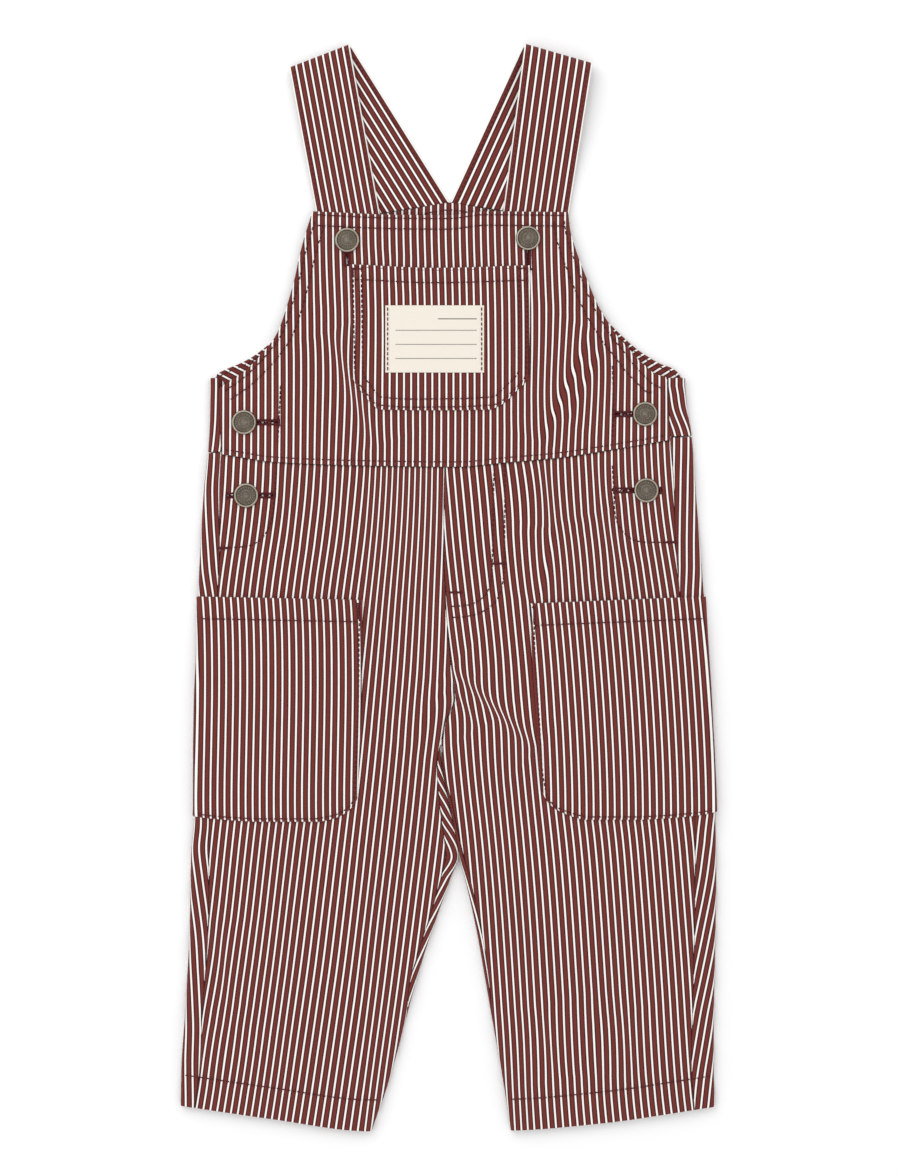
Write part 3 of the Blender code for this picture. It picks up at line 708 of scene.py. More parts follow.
# Lean of the stripes on the back panels, outwards positive, in degrees.
BACK_LEAN = {
    "left": Table("y lean", (-310, -2.0), (-275, -4.0), (-240, -9.6), (75, -9.8)),
    "right": Table("y lean", (-310, -9.6), (75, -9.4)),
}
FOLD_SLACK = (math.pi / 2 - 1) * STACK / 2
BACK_TURN = math.radians(9.7)  # the stripes' usual lean on the back legs
BACK_SHEAR = 0.16
FLOOR_INNER = 10.0             # where the floor's stretch meets the inner fold's


def leg_rows():
    return np.arange(HEM, WAIST + 0.1, FINE)[:, None]


def floor_height(x, y):
    """Underside of the back panels: on the floor but for a few shallow troughs."""
    return creased(x, y, UNDER_CREASES)


def back_leg_grid(side, offset, rows_under=()):
    """Back leg from the side seam round the outer fold, the floor and the inseam."""
    sign, leg = LEGS[side]
    y = leg_rows()
    quarter = math.pi / 2 * (STACK - lift_at(y)) / 2
    seam = seam_along(leg, y) - SEAM_GAP / 2
    over = seam + (-quarter - UNDER_REACH - seam) * np.linspace(0, 1, 42)
    out_x, out_z = outer_fold(leg, over, y, offset)
    wrap = leg.at("wrap", y) - SEAM_GAP / 2
    under = -FLOOR_INNER + (wrap + FLOOR_INNER) * np.linspace(0, 1, 20)
    in_x, in_z = inner_fold(leg, under, y, offset)
    floor_x = out_x[:, -1:] + (in_x[:, :1] - out_x[:, -1:]) * np.linspace(0, 1, 44)[1:-1]
    across = np.concatenate([out_x, floor_x, in_x], axis=1)
    height = np.concatenate([out_z, np.full(floor_x.shape, -offset), in_z], axis=1)
    along = np.concatenate([
        leg.at("outer", y) + over, floor_x - FOLD_SLACK, leg.at("inner", y) - under - 2 * FOLD_SLACK,
    ], axis=1)
    flat_y = np.broadcast_to(y, across.shape)
    row_y = strayed(across * sign, flat_y, BACK_WAIST_CURVE)
    level = smooth((across - in_x[:, :1] + 6) / 8) * smooth((out_x[:, -1:] + 6 - across) / 8)
    level *= smooth((WAIST - 2 - flat_y) / 10) * smooth((flat_y - HEM) / 12)
    height = height + floor_height(across * sign, row_y) * level
    if rows_under:
        height = height + pressed(across * sign, row_y, rows_under) * (height < 1.5) * (offset >= 0)
    lean = drift(across, row_y, BACK_LEAN[side], ())
    grain = np.stack([(along - lean) * math.cos(BACK_TURN), row_y + along * BACK_SHEAR], axis=2)
    return np.stack([across * sign, row_y, height], axis=2), grain


def hem_line(side, above_edge):
    """A row of stitches round a leg's hem, a fixed distance above its edge."""
    sign, leg = LEGS[side]
    level = HEM + above_edge
    reach = np.linspace(leg.at("inner", level) + 3.5, leg.at("outer", level) - 2.0, 40)
    return np.stack([reach * sign, strayed(reach * sign, np.full(40, HEM)) + above_edge], axis=1)


HEM_DEPTH = 18.0


SEAM_STITCH = 2.2              # from a seam to the stitches beside it


def back_seams(side):
    """Rows of stitches on the underside: hem, waist and beside the centre seam."""
    sign, leg = LEGS[side]
    reach = np.linspace(leg.at("inner", WAIST) + 1.5, leg.at("outer", WAIST) - 6, 30) * sign
    waist = np.stack([reach, strayed(reach, np.full(30, WAIST), BACK_WAIST_CURVE) - SEAM_STITCH], axis=1)
    y = np.linspace(WAIST - 3, CROTCH_OPEN, 30)
    centre = np.stack([(leg.at("inner", y) + SEAM_STITCH) * sign, y], axis=1)
    return [hem_line(side, HEM_DEPTH), waist, centre]


def at_height(height):
    """A level surface, for the stitches that lie on one."""
    return lambda x, y: np.full(x.shape, height)


STITCH_UNDER = 0.28

for side in LEGS:
    under_rows = back_seams(side)
    cloth(
        f"back_leg_{side}", lambda offset, side=side: back_leg_grid(side, offset, under_rows)[0],
        back_leg_grid(side, 0.0)[1], TWILL, [f"back_leg_{side}"])
    sew(
        f"back_leg_{side}_stitching",
        [on(row[2:-2], at_height(STITCH_UNDER), 0.0) for row in under_rows], up=-1.0)


# ------------------------------------------------------------------ front legs
# The two front panels lie over the backs, from the side seam to the inseam. The
# right one carries a mock fly in two rows of stitches, with two bar tacks.

# The creases of the front: a line, its height and half-width, and how far the
# cloth is drawn in across it, which makes the stripes jog there.
CREASES = Table(
    "x0 y0 x1 y1 height width draw",
    (1, -46, 50, -91, 1.3, 4.2, 3.8),
    (3, -57, 17, -80, 0.8, 3.0, 1.8),
    (-3, -58, -22, -92, 0.5, 5.0, -0.8),
    (-68, 146, -42, 80, 0.8, 4.5, 2.8),
    (82, 146, 52, 82, 0.8, 4.5, -3.0),
    (90, 144, 66, 94, 0.6, 3.5, -1.8),
    (54, 72, 59, 34, 0.7, 4.0, 1.7),
    (59, 34, 52, -8, 0.6, 4.0, -1.7),
    (82, 76, 87, 44, 0.6, 4.0, 0.9),
    (87, 44, 97, 10, 0.6, 4.5, 1.0),
    (-96, 70, -88, 22, 0.5, 5.0, 0.6),
    (-62, 62, -56, 10, 0.4, 5.0, 0.5),
    (53, -238, 60, -280, 0.6, 4.0, 0.9),
    (84, -232, 86, -278, 0.5, 4.0, -0.7),
    (101, -240, 106, -284, 0.5, 4.0, 0.7),
    (-131, -190, -126, -238, 0.5, 4.0, 0.8),
    (-124, -250, -128, -284, 0.4, 4.0, -0.6),
    (-40, -150, -58, -230, 0.4, 8.0, 0.5),
    (-30, 190, -36, 170, 0.3, 5.0, 0.6),
    (70, 196, 64, 160, 0.4, 5.0, -0.6),
    (-72, 200, -78, 160, 0.4, 5.0, 0.7),
    (20, -120, 34, -200, 0.4, 9.0, 0.5),
)
DRAW_REACH = 20.0


def front_height(x, y):
    """Upper face of the front: level, with its creases and a slow unevenness."""
    slow = 0.16 * np.sin(x / 17 + 0.6 * np.sin(y / 31)) * np.sin(y / 43 + 1.1)
    slow += 0.12 * np.sin(x / 29 - y / 24 + 2.0)
    return STACK + creased(x, y, CREASES) + slow


def drawn(x, y):
    """Sideways jog of the stripes at each crease, fading out around it."""
    shift = np.zeros(np.broadcast(x, y).shape)
    for line in CREASES.rows():
        share, across, _ = along_and_across(x, y, line)
        window = np.sin(np.pi * np.clip(share, 0, 1)) ** 0.7
        fade = np.exp(-((across / DRAW_REACH) ** 2))
        shift += line["draw"] / 2 * np.tanh(across / line["width"] * 1.6) * window * fade
    return shift


# Lean of the stripes on the fronts in degrees, top to the right positive, at
# stations across each leg.
FRONT_STATIONS = {"left": (-130, -88, -48, -6), "right": (6, 48, 88, 130)}
FRONT_LEAN = {
    "left": Table(
        "y side outer inner middle",
        (-305, 10.5, 9.0, 7.5, 11.0), (-270, 8.0, 8.0, 8.0, 10.0), (-235, 9.0, 8.0, 7.5, 9.5),
        (-200, 7.5, 7.0, 6.5, 8.0), (-155, 6.0, 7.0, 6.5, 7.0), (-130, 6.5, 7.5, 6.5, 6.0),
        (-75, 4.5, 5.5, 5.5, 4.0), (-20, 4.5, 5.5, 6.5, 2.0), (15, 8.0, 8.0, 8.0, 2.5),
        (38, 5.5, 7.0, 6.0, 2.0), (60, 3.0, 3.5, 4.0, 1.0), (85, 2.0, 1.0, -1.0, 0.5),
    ),
    "right": Table(
        "y middle inner outer side",
        (-305, -3.0, -4.0, -6.0, -8.5), (-270, -5.0, -2.5, -2.0, -4.0), (-235, -5.0, -3.2, -3.6, -3.6),
        (-200, -5.0, -3.4, -3.8, -4.4), (-155, -5.0, -5.2, -4.8, -4.6), (-130, -6.5, -6.0, -7.5, -7.0),
        (-100, -6.0, -5.0, -5.0, -5.0), (-60, -8.5, -6.5, -5.5, -5.0), (-20, -7.0, -5.0, -6.5, -6.5),
        (15, -6.0, -5.0, -6.5, -10.0), (38, -5.0, -3.0, -6.5, -8.0), (60, -5.0, -5.5, -3.0, -5.0),
        (85, -2.0, -3.0, -1.5, -2.0),
    ),
}

HEM_RAISE, WAIST_DIP, SEAM_DIP = 0.35, 1.15, 0.15
MOCK_FLY = {
    "outer": curve((31.7, 71.0), (31.7, 44), (31.6, 20), (30.8, 4), (27.6, -6.4), (20.5, -13),
                   (11, -16.3), (1.2, -17.1)),
    "inner": curve((25.6, 68.6), (25.2, 44), (24.8, 20), (24.0, 4), (20.4, -4.6), (12.5, -9.6),
                   (1.2, -10.8)),
}


def placket_row(side):
    """The J of stitches that holds the side opening's underlap to the front."""
    if side == "left":
        return curve((-95.8, 115.0), (-96.6, 95), (-98, 72.4), (-99.2, 52.7), (-100.6, 40),
                     (-103.2, 32.5), (-107.6, 26.8), (-114.3, 23.6), (-128.5, 22.4))
    return curve((92.9, 126.5), (93.6, 100), (92.6, 78), (93.7, 56), (94.7, 40), (98.6, 32),
                 (104.6, 27.2), (112, 25.8), (126.6, 25.7))


BIB_OVER_LEGS = 5.0            # rows stop this far short of the waist seam


def leg_stitching(side):
    """Rows of stitches on a front leg."""
    placket = placket_row(side)
    rows = [hem_line(side, HEM_DEPTH), placket[placket[:, 1] < WAIST - BIB_OVER_LEGS]]
    if side == "right":
        rows += [MOCK_FLY["outer"], MOCK_FLY["inner"]]
    return rows


def front_leg_grid(side, offset):
    """Front leg from the side seam across to the inseam, which rolls under."""
    sign, leg = LEGS[side]
    y = leg_rows()
    closed = np.clip((CROTCH_OPEN - y) / (CROTCH_OPEN - CROTCH_SHUT), 0, 1)
    sweep = math.pi / 2 * closed
    start = leg.at("wrap", y) + SEAM_GAP / 2
    slack = STACK / 2 * (sweep - np.sin(sweep))
    end = leg.at("seam", y) - SEAM_GAP - leg.at("inner", y) + slack
    steps = np.linspace(0, 1, 98)
    along = start + (end - start) * steps
    across, height = inner_fold(leg, along, y, offset)
    x = across * sign
    row_y = strayed(x, np.broadcast_to(y, x.shape))
    flatness = np.clip((height - offset) / STACK, 0, 1) ** 2
    height = height + (front_height(x, row_y) - STACK) * flatness
    below_waist = strayed(x, np.full(x.shape, WAIST)) - row_y
    height -= WAIST_DIP * np.exp(-((below_waist / 2.4) ** 2))
    height -= SEAM_DIP * np.exp(-(((end - along) / 1.8) ** 2))
    flat_seam = (1 - closed) * np.exp(-(((along - start) / 1.6) ** 2))
    height -= SEAM_DIP * flat_seam
    if offset >= 0:
        from_hem = row_y - strayed(x, np.full(x.shape, HEM))
        height += HEM_RAISE * smooth((HEM_DEPTH - 1.2 - from_hem) / 1.5) * flatness
        height -= pressed(x, row_y, leg_stitching(side)) * flatness
    lean = drift(x, row_y, FRONT_LEAN[side], FRONT_STATIONS[side])
    flat_x = (leg.at("inner", y) + along - slack) * sign
    grain = np.stack([flat_x - lean + drawn(x, row_y), row_y + 0 * x], axis=2)
    return np.stack([x, row_y, height], axis=2), grain


def fly_height(x, y):
    return front_height(x, y) - 0.1


SIDE_HOLES = {"left": ((-126.5, 52.3), (-99.5, 52.3)), "right": ((120.3, 55.2), (93.9, 55.2))}
BUTTONS = {
    "bib_left": (-57.9, 197.5), "bib_right": (45.0, 198.6),
    "side_upper_left": (-116.5, 93.9), "side_upper_right": (111.5, 98.6),
    "side_lower_left": (-115.3, 52.3), "side_lower_right": (112.2, 55.2),
}
SLOT_HALF, EYELET_HALF = 0.72, 2.6


def uncut(grid, holes, eyelets):
    """Which cells of a grid are cloth: all but the buttonholes and their eyelets."""
    middle = (grid[1:, 1:] + grid[:-1, :-1]) / 2
    x, y = middle[..., 0], middle[..., 1]
    kept = np.ones(x.shape, bool)
    for hole in holes:
        kept &= distance_to(x, y, hole) > SLOT_HALF
    for at in eyelets:
        kept &= np.hypot(x - at[0], y - at[1]) > EYELET_HALF
    return kept


def buttonhole(hole, height):
    """Satin stitches down both sides of a slot, and a bar across each end."""
    start, end = np.array(hole[0], float), np.array(hole[1], float)
    run = (end - start) / np.linalg.norm(end - start)
    square = np.array((-run[1], run[0]))
    count = round(np.linalg.norm(end - start) / 0.5)
    places = start + (end - start) * np.linspace(0, 1, count)[:, None]
    sets = []
    for off in (-1.15, 1.15):
        at = places + square * off
        way = np.tile(np.array((*square, 0.0)), (count, 1))
        sets.append((np.column_stack([at, height(at[:, 0], at[:, 1]) + 0.05]), way, 1.5, 0.27))
    for at in (start, end):
        sets.append(bar_tack(at - square * 1.9, at + square * 1.9, height, width=1.4))
    return sets


for side, (sign, leg) in LEGS.items():
    grid, grain = front_leg_grid(side, 0.0)
    cloth(
        f"front_leg_{side}", lambda offset, side=side: front_leg_grid(side, offset)[0], grain, TWILL,
        [f"front_leg_{side}"],
        present=uncut(grid, [SIDE_HOLES[side]], [BUTTONS[f"side_lower_{side}"]]))
    tacks = buttonhole(SIDE_HOLES[side], fly_height)
    foot = placket_row(side)[-1]
    tacks.append(bar_tack(foot - (3.0 * sign, 0), foot + (3.0 * sign, 0), fly_height))
    if side == "right":
        tacks.append(bar_tack((24.9, 13.6), (32.1, 13.6), fly_height))
        tacks.append(bar_tack((0.2, -2.8), (7.4, -2.8), fly_height))
    sew(f"front_leg_{side}_stitching", [on(row, fly_height) for row in leg_stitching(side)], tacks)


# ------------------------------------------------------------------ side pockets
# Large patch pockets stitched over the side seams. Each runs out over the front,
# round the outer fold and a little way beneath, with a hem at its mouth.

POCKETS = {
    "left": Table(
        "y inner", (-133.2, 73.0), (-130.5, 62.8), (-125, 55.2), (-118.5, 51.9),
        (-104, 51.4), (-60, 49.7), (-5.1, 49.2),
    ),
    "right": Table(
        "y inner", (-132.1, 76.0), (-130.0, 69.5), (-125, 59.1), (-118, 53.9),
        (-100, 51.0), (-77, 49.8), (-42, 47.4), (-5.1, 46.3),
    ),
}
POCKET_UNDER, POCKET_HEM, POCKET_EDGE = 11.0, 12.6, 1.7
POCKET_MOUTH_SLOPE = {"left": 0.02, "right": 0.04}
POCKET_FOOT_RISE = Table("outwards rise", (110, 0), (126, 1.0), (142, 2.6), (153, 4.8))
MOUTH_STAND = 0.9
POCKET_LEAN = {
    "left": Table("y lean", (-132, -1.0), (-100, 1.2), (-75, 1.0), (-53, 0.0), (-30, -1.2), (-6, -4.5)),
    "right": Table("y lean", (-132, 0.0), (-112, -1.5), (-90, -2.8), (-60, -4.0), (-30, -5.2), (-6, -6.5)),
}
POCKET_PHASE = {"left": 1.3, "right": 0.4}


def pocket_row(side, across, y):
    """Height on the cloth of a pocket's row: its foot rises and its mouth slopes."""
    outer, foot, mouth = LEGS[side][1].at("outer", y), -133.0, -5.1
    rise = POCKET_FOOT_RISE.at("rise", across) * np.clip((-100 - y) / (-100 - foot), 0, 1)
    drop = POCKET_MOUTH_SLOPE[side] * (outer - across) * np.clip((y + 60) / (mouth + 60), 0, 1)
    return y + rise - drop


def pocket_rows(side):
    """Its rows of stitches: the hem, and one row just inside the sewn edge."""
    sign, leg = LEGS[side]
    table = POCKETS[side]
    foot, mouth = table.values[0, 0], table.values[-1, 0]
    y = np.concatenate([np.linspace(mouth - 1.2, -118, 40), np.linspace(-118, foot, 12)[1:]])
    inner = np.stack([table.at("inner", y) + POCKET_EDGE, pocket_row(side, table.at("inner", y), y)], axis=1)
    inner[-8:, 1] += np.linspace(0.0, POCKET_EDGE, 8)
    reach = np.linspace(table.at("inner", foot) + 2.0, leg.at("outer", foot) - 1.6, 40)
    foot_row = np.stack([reach, pocket_row(side, reach, np.full(40, foot)) + POCKET_EDGE], axis=1)
    hem_y = mouth - POCKET_HEM
    reach = np.linspace(table.at("inner", hem_y) + 2.2, leg.at("outer", hem_y) - 1.6, 40)
    hem = np.stack([reach, pocket_row(side, reach, np.full(40, mouth)) - POCKET_HEM], axis=1)
    return [hem * (sign, 1), np.concatenate([inner, foot_row]) * (sign, 1)]


def pocket_top(x, y):
    return front_height(x, y) + POCKET_STAND


def pocket_grid(side, offset):
    """Side pocket out over the front, round the outer fold and beneath the leg."""
    sign, leg = LEGS[side]
    table = POCKETS[side]
    foot, mouth = table.values[0, 0], table.values[-1, 0]
    y = np.arange(foot, mouth + 0.1, FINE)[:, None]
    y = foot + (mouth - foot) * (y - foot) / (y[-1] - foot)
    outer = leg.at("outer", y)
    radius = (STACK - POCKET_STAND) / 2
    quarter = math.pi / 2 * radius
    flat_x = table.at("inner", y) + (outer - radius - table.at("inner", y)) * np.linspace(0, 1, 68)[:-1]
    over = quarter - (2 * quarter + POCKET_UNDER) * np.linspace(0, 1, 20)
    off = POCKET_STAND + offset
    fold_x, fold_z = outer_fold(leg, over, y, off)
    across = np.concatenate([flat_x, fold_x], axis=1)
    row_y = pocket_row(side, across, np.broadcast_to(y, across.shape))
    x = across * sign
    flat_z = front_height(flat_x * sign, row_y[:, : flat_x.shape[1]]) + off
    down = 1 - smooth((across[:, : flat_x.shape[1]] - (outer - 14)) / 12)
    flat_z = (flat_z - STACK - off) * down + STACK + off
    height = np.concatenate([flat_z, fold_z], axis=1)
    along = np.concatenate([flat_x, outer - radius + quarter - over], axis=1)
    below_mouth = pocket_row(side, across, np.full(across.shape, mouth)) - row_y
    inward = smooth((across - table.at("inner", y)) / 12) * smooth((outer - 8 - across) / 14)
    height = height + MOUTH_STAND * np.exp(-((below_mouth / 11) ** 2)) * inward
    if offset >= 0:
        level = smooth((outer - across) / 3)
        height += 0.3 * smooth((POCKET_HEM - 1.2 - below_mouth) / 1.4) * level
        height -= pressed(x, row_y, pocket_rows(side)) * level
    lean = drift(x, row_y, POCKET_LEAN[side], ())
    u = along * sign - lean + 0.5 * drawn(x, row_y) + POCKET_PHASE[side]
    return np.stack([x, row_y, height], axis=2), np.stack([u, row_y], axis=2)


for side, (sign, leg) in LEGS.items():
    cloth(
        f"side_pocket_{side}", lambda offset, side=side: pocket_grid(side, offset)[0],
        pocket_grid(side, 0.0)[1], TWILL,
        [f"side_pocket_{side}"])
    rows = pocket_rows(side)
    lies = lambda x, y: pocket_top(x, y) - 0.16
    corner = np.array((POCKETS[side].values[-1, 1] * sign, rows[1][0, 1]))
    tacks = [
        bar_tack(corner + (2.4 * sign, -1.4), corner + (2.4 * sign, -9.5), lies, width=2.2),
        bar_tack(corner + (1.2 * sign, -1.0), corner + (6.5 * sign, -1.2), lies),
    ]
    sew(f"side_pocket_{side}_stitching", [on(rows[0], lies, 0.3), on(rows[1], lies)], tacks)


# ------------------------------------------------------------------ upper back
# One panel from the back waist seam to a low peak where the straps are sewn. It
# folds over at the sides below the armholes, beside the openings.

BACK_ARMHOLES = Table(
    "y left right",
    (119.2, 133.8, 132.3), (121.8, 131.6, 130.8), (124.6, 126.2, 127.6), (127.4, 119.4, 120.4),
    (131.0, 112.5, 114.0), (136.8, 104.6, 105.7), (144.6, 95.4, 97.2), (156, 85.0, 86.0),
    (172, 73.5, 73.0), (188, 62.0, 61.5), (202, 49.5, 51.5), (213, 39.5, 44.5),
)
BACK_TOP_CURVE = Table("x rise", (-40, -0.4), (-20, 2.9), (0.5, 6.3), (22, 2.6), (45, -1.3))
OPENING_TOP = 119.2
BACK_TOP = 213.0
SIDE_COLUMNS, FLOOR_COLUMNS = 16, 118


def upper_back_rows():
    folded = np.arange(WAIST + 0.02, OPENING_TOP - 0.3, FINE)
    return np.concatenate([folded, [OPENING_TOP], np.arange(OPENING_TOP + 1.2, BACK_TOP, 1.4), [BACK_TOP]])


def upper_back_grid(offset):
    """Upper back across the floor, with a folded side at each end below the armholes."""
    y = upper_back_rows()[:, None]
    level = np.minimum(y, OPENING_TOP)
    ends = []
    for side, (sign, leg) in LEGS.items():
        quarter = math.pi / 2 * STACK / 2
        seam = seam_along(leg, level) - SEAM_GAP / 2
        over = seam + (-quarter - seam) * np.linspace(0, 1, SIDE_COLUMNS)
        x, z = outer_fold(leg, over, level, offset)
        x[:, -1:] = np.where(y > OPENING_TOP, BACK_ARMHOLES.at(side, y), x[:, -1:])
        ends.append((x * sign, z, (leg.at("outer", level) + over) * sign))
    (left_x, left_z, left_u), (right_x, right_z, right_u) = ends
    steps = np.linspace(0, 1, FLOOR_COLUMNS + 2)[1:-1]
    floor_x = left_x[:, -1:] + (right_x[:, -1:] - left_x[:, -1:]) * steps
    across = np.concatenate([left_x, floor_x, right_x[:, ::-1]], axis=1)
    flat_z = np.full(floor_x.shape, -offset)
    height = np.concatenate([left_z, flat_z, right_z[:, ::-1]], axis=1)
    near_top = smooth((y - 188) / (BACK_TOP - 188))
    strays = strayed(across, np.broadcast_to(y, across.shape), BACK_WAIST_CURVE) - y
    bent = y + strays * np.clip((OPENING_TOP - y) / 16, 0, 1)
    row_y = bent + near_top * BACK_TOP_CURVE.at("rise", across)
    inside = np.zeros(across.shape)
    inside[:, SIDE_COLUMNS + 4 : -SIDE_COLUMNS - 4] = 1.0
    calm = smooth((y - WAIST - 3) / 10) * smooth((BACK_TOP - 6 - y) / 12)
    height = height + floor_height(across, row_y) * inside * calm
    u = np.concatenate([left_u, floor_x, right_u[:, ::-1]], axis=1)
    return np.stack([across, row_y, height], axis=2), np.stack([u * 0.98, row_y], axis=2)


back_y = upper_back_rows()
present = np.ones((back_y.size - 1, 2 * SIDE_COLUMNS + FLOOR_COLUMNS - 1), bool)
above_opening = back_y[1:] > OPENING_TOP + 0.01
present[above_opening, : SIDE_COLUMNS - 1] = False
present[above_opening, 1 - SIDE_COLUMNS :] = False
cloth(
    "back_bib", lambda offset: upper_back_grid(offset)[0], upper_back_grid(0.0)[1], TWILL,
    ["back_bib"], present=present)

top_x = np.linspace(-37, 42, 40)
top_edge = np.stack([top_x, BACK_TOP + BACK_TOP_CURVE.at("rise", top_x)], axis=1)
inside_top = at_height(CLOTH + 0.02)
beneath = at_height(0.1)
waist_x = np.linspace(-128, 128, 90)
waist_row = np.stack([waist_x, WAIST + 2.6 + BACK_WAIST_CURVE.at("rise", waist_x)], axis=1)
sew("back_bib_stitching_inside", [on(top_edge - (0, 4.2), inside_top)])
sew("back_bib_stitching", [on(top_edge - (0, 4.2), beneath, 0.0), on(waist_row, beneath, 0.0)], up=-1.0)


# ------------------------------------------------------------------ armhole facings
# A bias strip inside each back armhole, level with its edge. Only the stretch
# that shows above the bib is made, running a little way under it.

FACING_SPAN = (121.0, 152.0)
FACING_WIDTH = Table("share width", (0, 9.0), (0.3, 16.0), (1, 20.0))
BIAS_LEAN = {"left": -62.0, "right": 58.0}


def facing_grid(side, offset):
    """Strip from the armhole edge inwards, square to the edge."""
    sign = LEGS[side][0]
    y = np.concatenate([np.linspace(FACING_SPAN[0], 131, 20), np.linspace(131, FACING_SPAN[1], 26)[1:]])
    edge = np.stack([BACK_ARMHOLES.at(side, y) * sign, y], axis=1)
    run = np.gradient(edge, axis=0)
    run /= np.linalg.norm(run, axis=1, keepdims=True)
    inward = np.stack([run[:, 1], -run[:, 0]], axis=1) * -sign
    width = FACING_WIDTH.at("width", np.linspace(0, 1, y.size))[:, None]
    share = np.linspace(0, 1, 14)
    plan = edge[:, None] + inward[:, None] * (width * share)[..., None]
    height = np.full(plan.shape[:2], POCKET_STAND + CLOTH + offset)
    lean = math.radians(BIAS_LEAN[side])
    u = plan[..., 0] * math.cos(lean) - plan[..., 1] * math.sin(lean)
    v = plan[..., 0] * math.sin(lean) + plan[..., 1] * math.cos(lean)
    return np.concatenate([plan, height[..., None]], axis=2), np.stack([u, v], axis=2)


for side, (sign, _) in LEGS.items():
    grid, grain = facing_grid(side, 0.0)
    cloth(
        f"armhole_facing_{side}", lambda offset, side=side: facing_grid(side, offset)[0], grain, TWILL,
        [f"armhole_facing_{side}"],
        flat=(FACING_WIDTH.values[-1, 1], float(np.linalg.norm(np.diff(grid[:, 0], axis=0), axis=1).sum())))
    level = at_height(POCKET_STAND + CLOTH)
    row = beside(grid[:, 0, :2], 1.9 * sign)
    sew(f"armhole_facing_{side}_stitching", [on(row[1:], level)])


# ------------------------------------------------------------------ side underlaps
# The underlap of each side opening lies beneath the front's edge, held under the
# back's folded side, and carries the two side buttons.

PLACKET_SPAN, PLACKET_WIDTH, PLACKET_UNDER_BACK = (24.0, 106.0), 30.0, 3.0


def placket_grid(side, offset):
    sign, leg = LEGS[side]
    y = np.linspace(*PLACKET_SPAN, 42)[:, None]
    across = leg.at("seam", y) + PLACKET_UNDER_BACK
    across = across - (PLACKET_WIDTH + PLACKET_UNDER_BACK) * np.linspace(0, 1, 20)
    row_y = np.broadcast_to(y, across.shape)
    height = np.full(across.shape, STACK - CLOTH - SEAM_GAP + offset)
    grid = np.stack([across * sign, row_y, height], axis=2)
    return grid, np.stack([across * sign, row_y], axis=2)


for side in LEGS:
    cloth(
        f"side_placket_{side}", lambda offset, side=side: placket_grid(side, offset)[0],
        placket_grid(side, 0.0)[1], TWILL,
        [f"side_placket_{side}"])


# ------------------------------------------------------------------ bib
# The bib and front waist in one panel, over the straps' ends and the underlaps.
# Its bottom edge is turned under along the waist seam, its top and armholes are
# stitched in two rows, and four buttonholes are worked through it.

BIB_EDGES = Table(
    "y left right",
    (75, 129.5, 125.8), (95, 130.4, 125.0), (112, 131.0, 124.3), (115.7, 126.6, 123.4),
    (117.5, 124.0, 118.2), (122.8, 116.9, 112.6), (128.1, 111.4, 107.4),
    (136.3, 104.1, 101.3), (141.6, 99.8, 96.5), (150, 95.6, 91.2), (161, 92.0, 84.6),
    (175, 88.0, 78.7), (189, 84.9, 73.2), (203, 80.9, 69.0), (213, 77.6, 67.9),
)
BIB_TOP_CURVE = Table("x rise", (-77, 1.0), (-28, -1.0), (-1, -1.2), (21, 1.0), (68, 0.5))
BIB_TOP = 213.0
WAIST_LAP = 0.6                # how far the bib's turned edge laps over the legs
BIB_LEAN = Table("y lean", (75, 0.5), (110, 0.0), (150, -0.6), (185, -2.2), (213, 0.5))
BIB_HOLES = [
    ((-57.9, 197.5), (-57.9, 183.3)), ((45.0, 198.6), (45.0, 181.0)),
    ((-116.5, 93.9), (-96.6, 93.9)), ((111.5, 98.6), (93.9, 98.6)),
]


def bib_edge(side, inside, low=114.0):
    """The armhole edge of the bib moved inside by a distance, as a line."""
    sign = LEGS[side][0]
    y = np.concatenate([np.linspace(low, 122, 9), np.linspace(122, BIB_TOP - 2, 50)[1:]])
    edge = np.stack([BIB_EDGES.at(side, y) * sign, y], axis=1)
    return curve(*beside(edge, inside * sign)[::4])


def bib_top_line(inside):
    x = np.linspace(-77 + 1.5, 67.5 - 1.5, 50)
    return np.stack([x, BIB_TOP + BIB_TOP_CURVE.at("rise", x) - inside], axis=1)


def waist_line(above):
    x = np.linspace(-127.5, 122.5, 90)
    return np.stack([x, WAIST + WAIST_CURVE.at("rise", x) + above], axis=1)


def bib_rows():
    rows = [bib_top_line(2.0), bib_top_line(8.0), waist_line(2.2)]
    for side in LEGS:
        rows += [bib_edge(side, 2.8), bib_edge(side, 8.6)]
        upper = placket_row(side)
        rows.append(upper[upper[:, 1] > 80])
    return rows


def bib_height(x, y):
    return front_height(x, y) + 0.1


def bib_grid(offset):
    """Bib in level rows between its two side edges, bent to the waist and the top."""
    y = np.concatenate([np.arange(WAIST, 110, FINE), np.arange(110, 130, 0.9), np.arange(130, BIB_TOP, 1.4)])
    y = np.append(y, BIB_TOP)[:, None]
    left = -BIB_EDGES.at("left", y) + SEAM_GAP / 2
    right = BIB_EDGES.at("right", y) - SEAM_GAP / 2
    x = left + (right - left) * np.linspace(0, 1, 150)
    flat_y = np.broadcast_to(y, x.shape)
    near_top = smooth((flat_y - 160) / (BIB_TOP - 160))
    lift_off = -WAIST_LAP * (1 - smooth((flat_y - WAIST) / 3))
    row_y = strayed(x, flat_y) + near_top * BIB_TOP_CURVE.at("rise", x) + lift_off
    height = front_height(x, row_y) + offset
    above_waist = row_y - strayed(x, np.full(x.shape, WAIST))
    height += 0.25 * np.exp(-((above_waist / 9) ** 2))
    if offset >= 0:
        height -= pressed(x, row_y, bib_rows())
    u = x - drift(x, row_y, BIB_LEAN, ()) + drawn(x, row_y)
    return np.stack([x, row_y, height], axis=2), np.stack([u, row_y], axis=2)


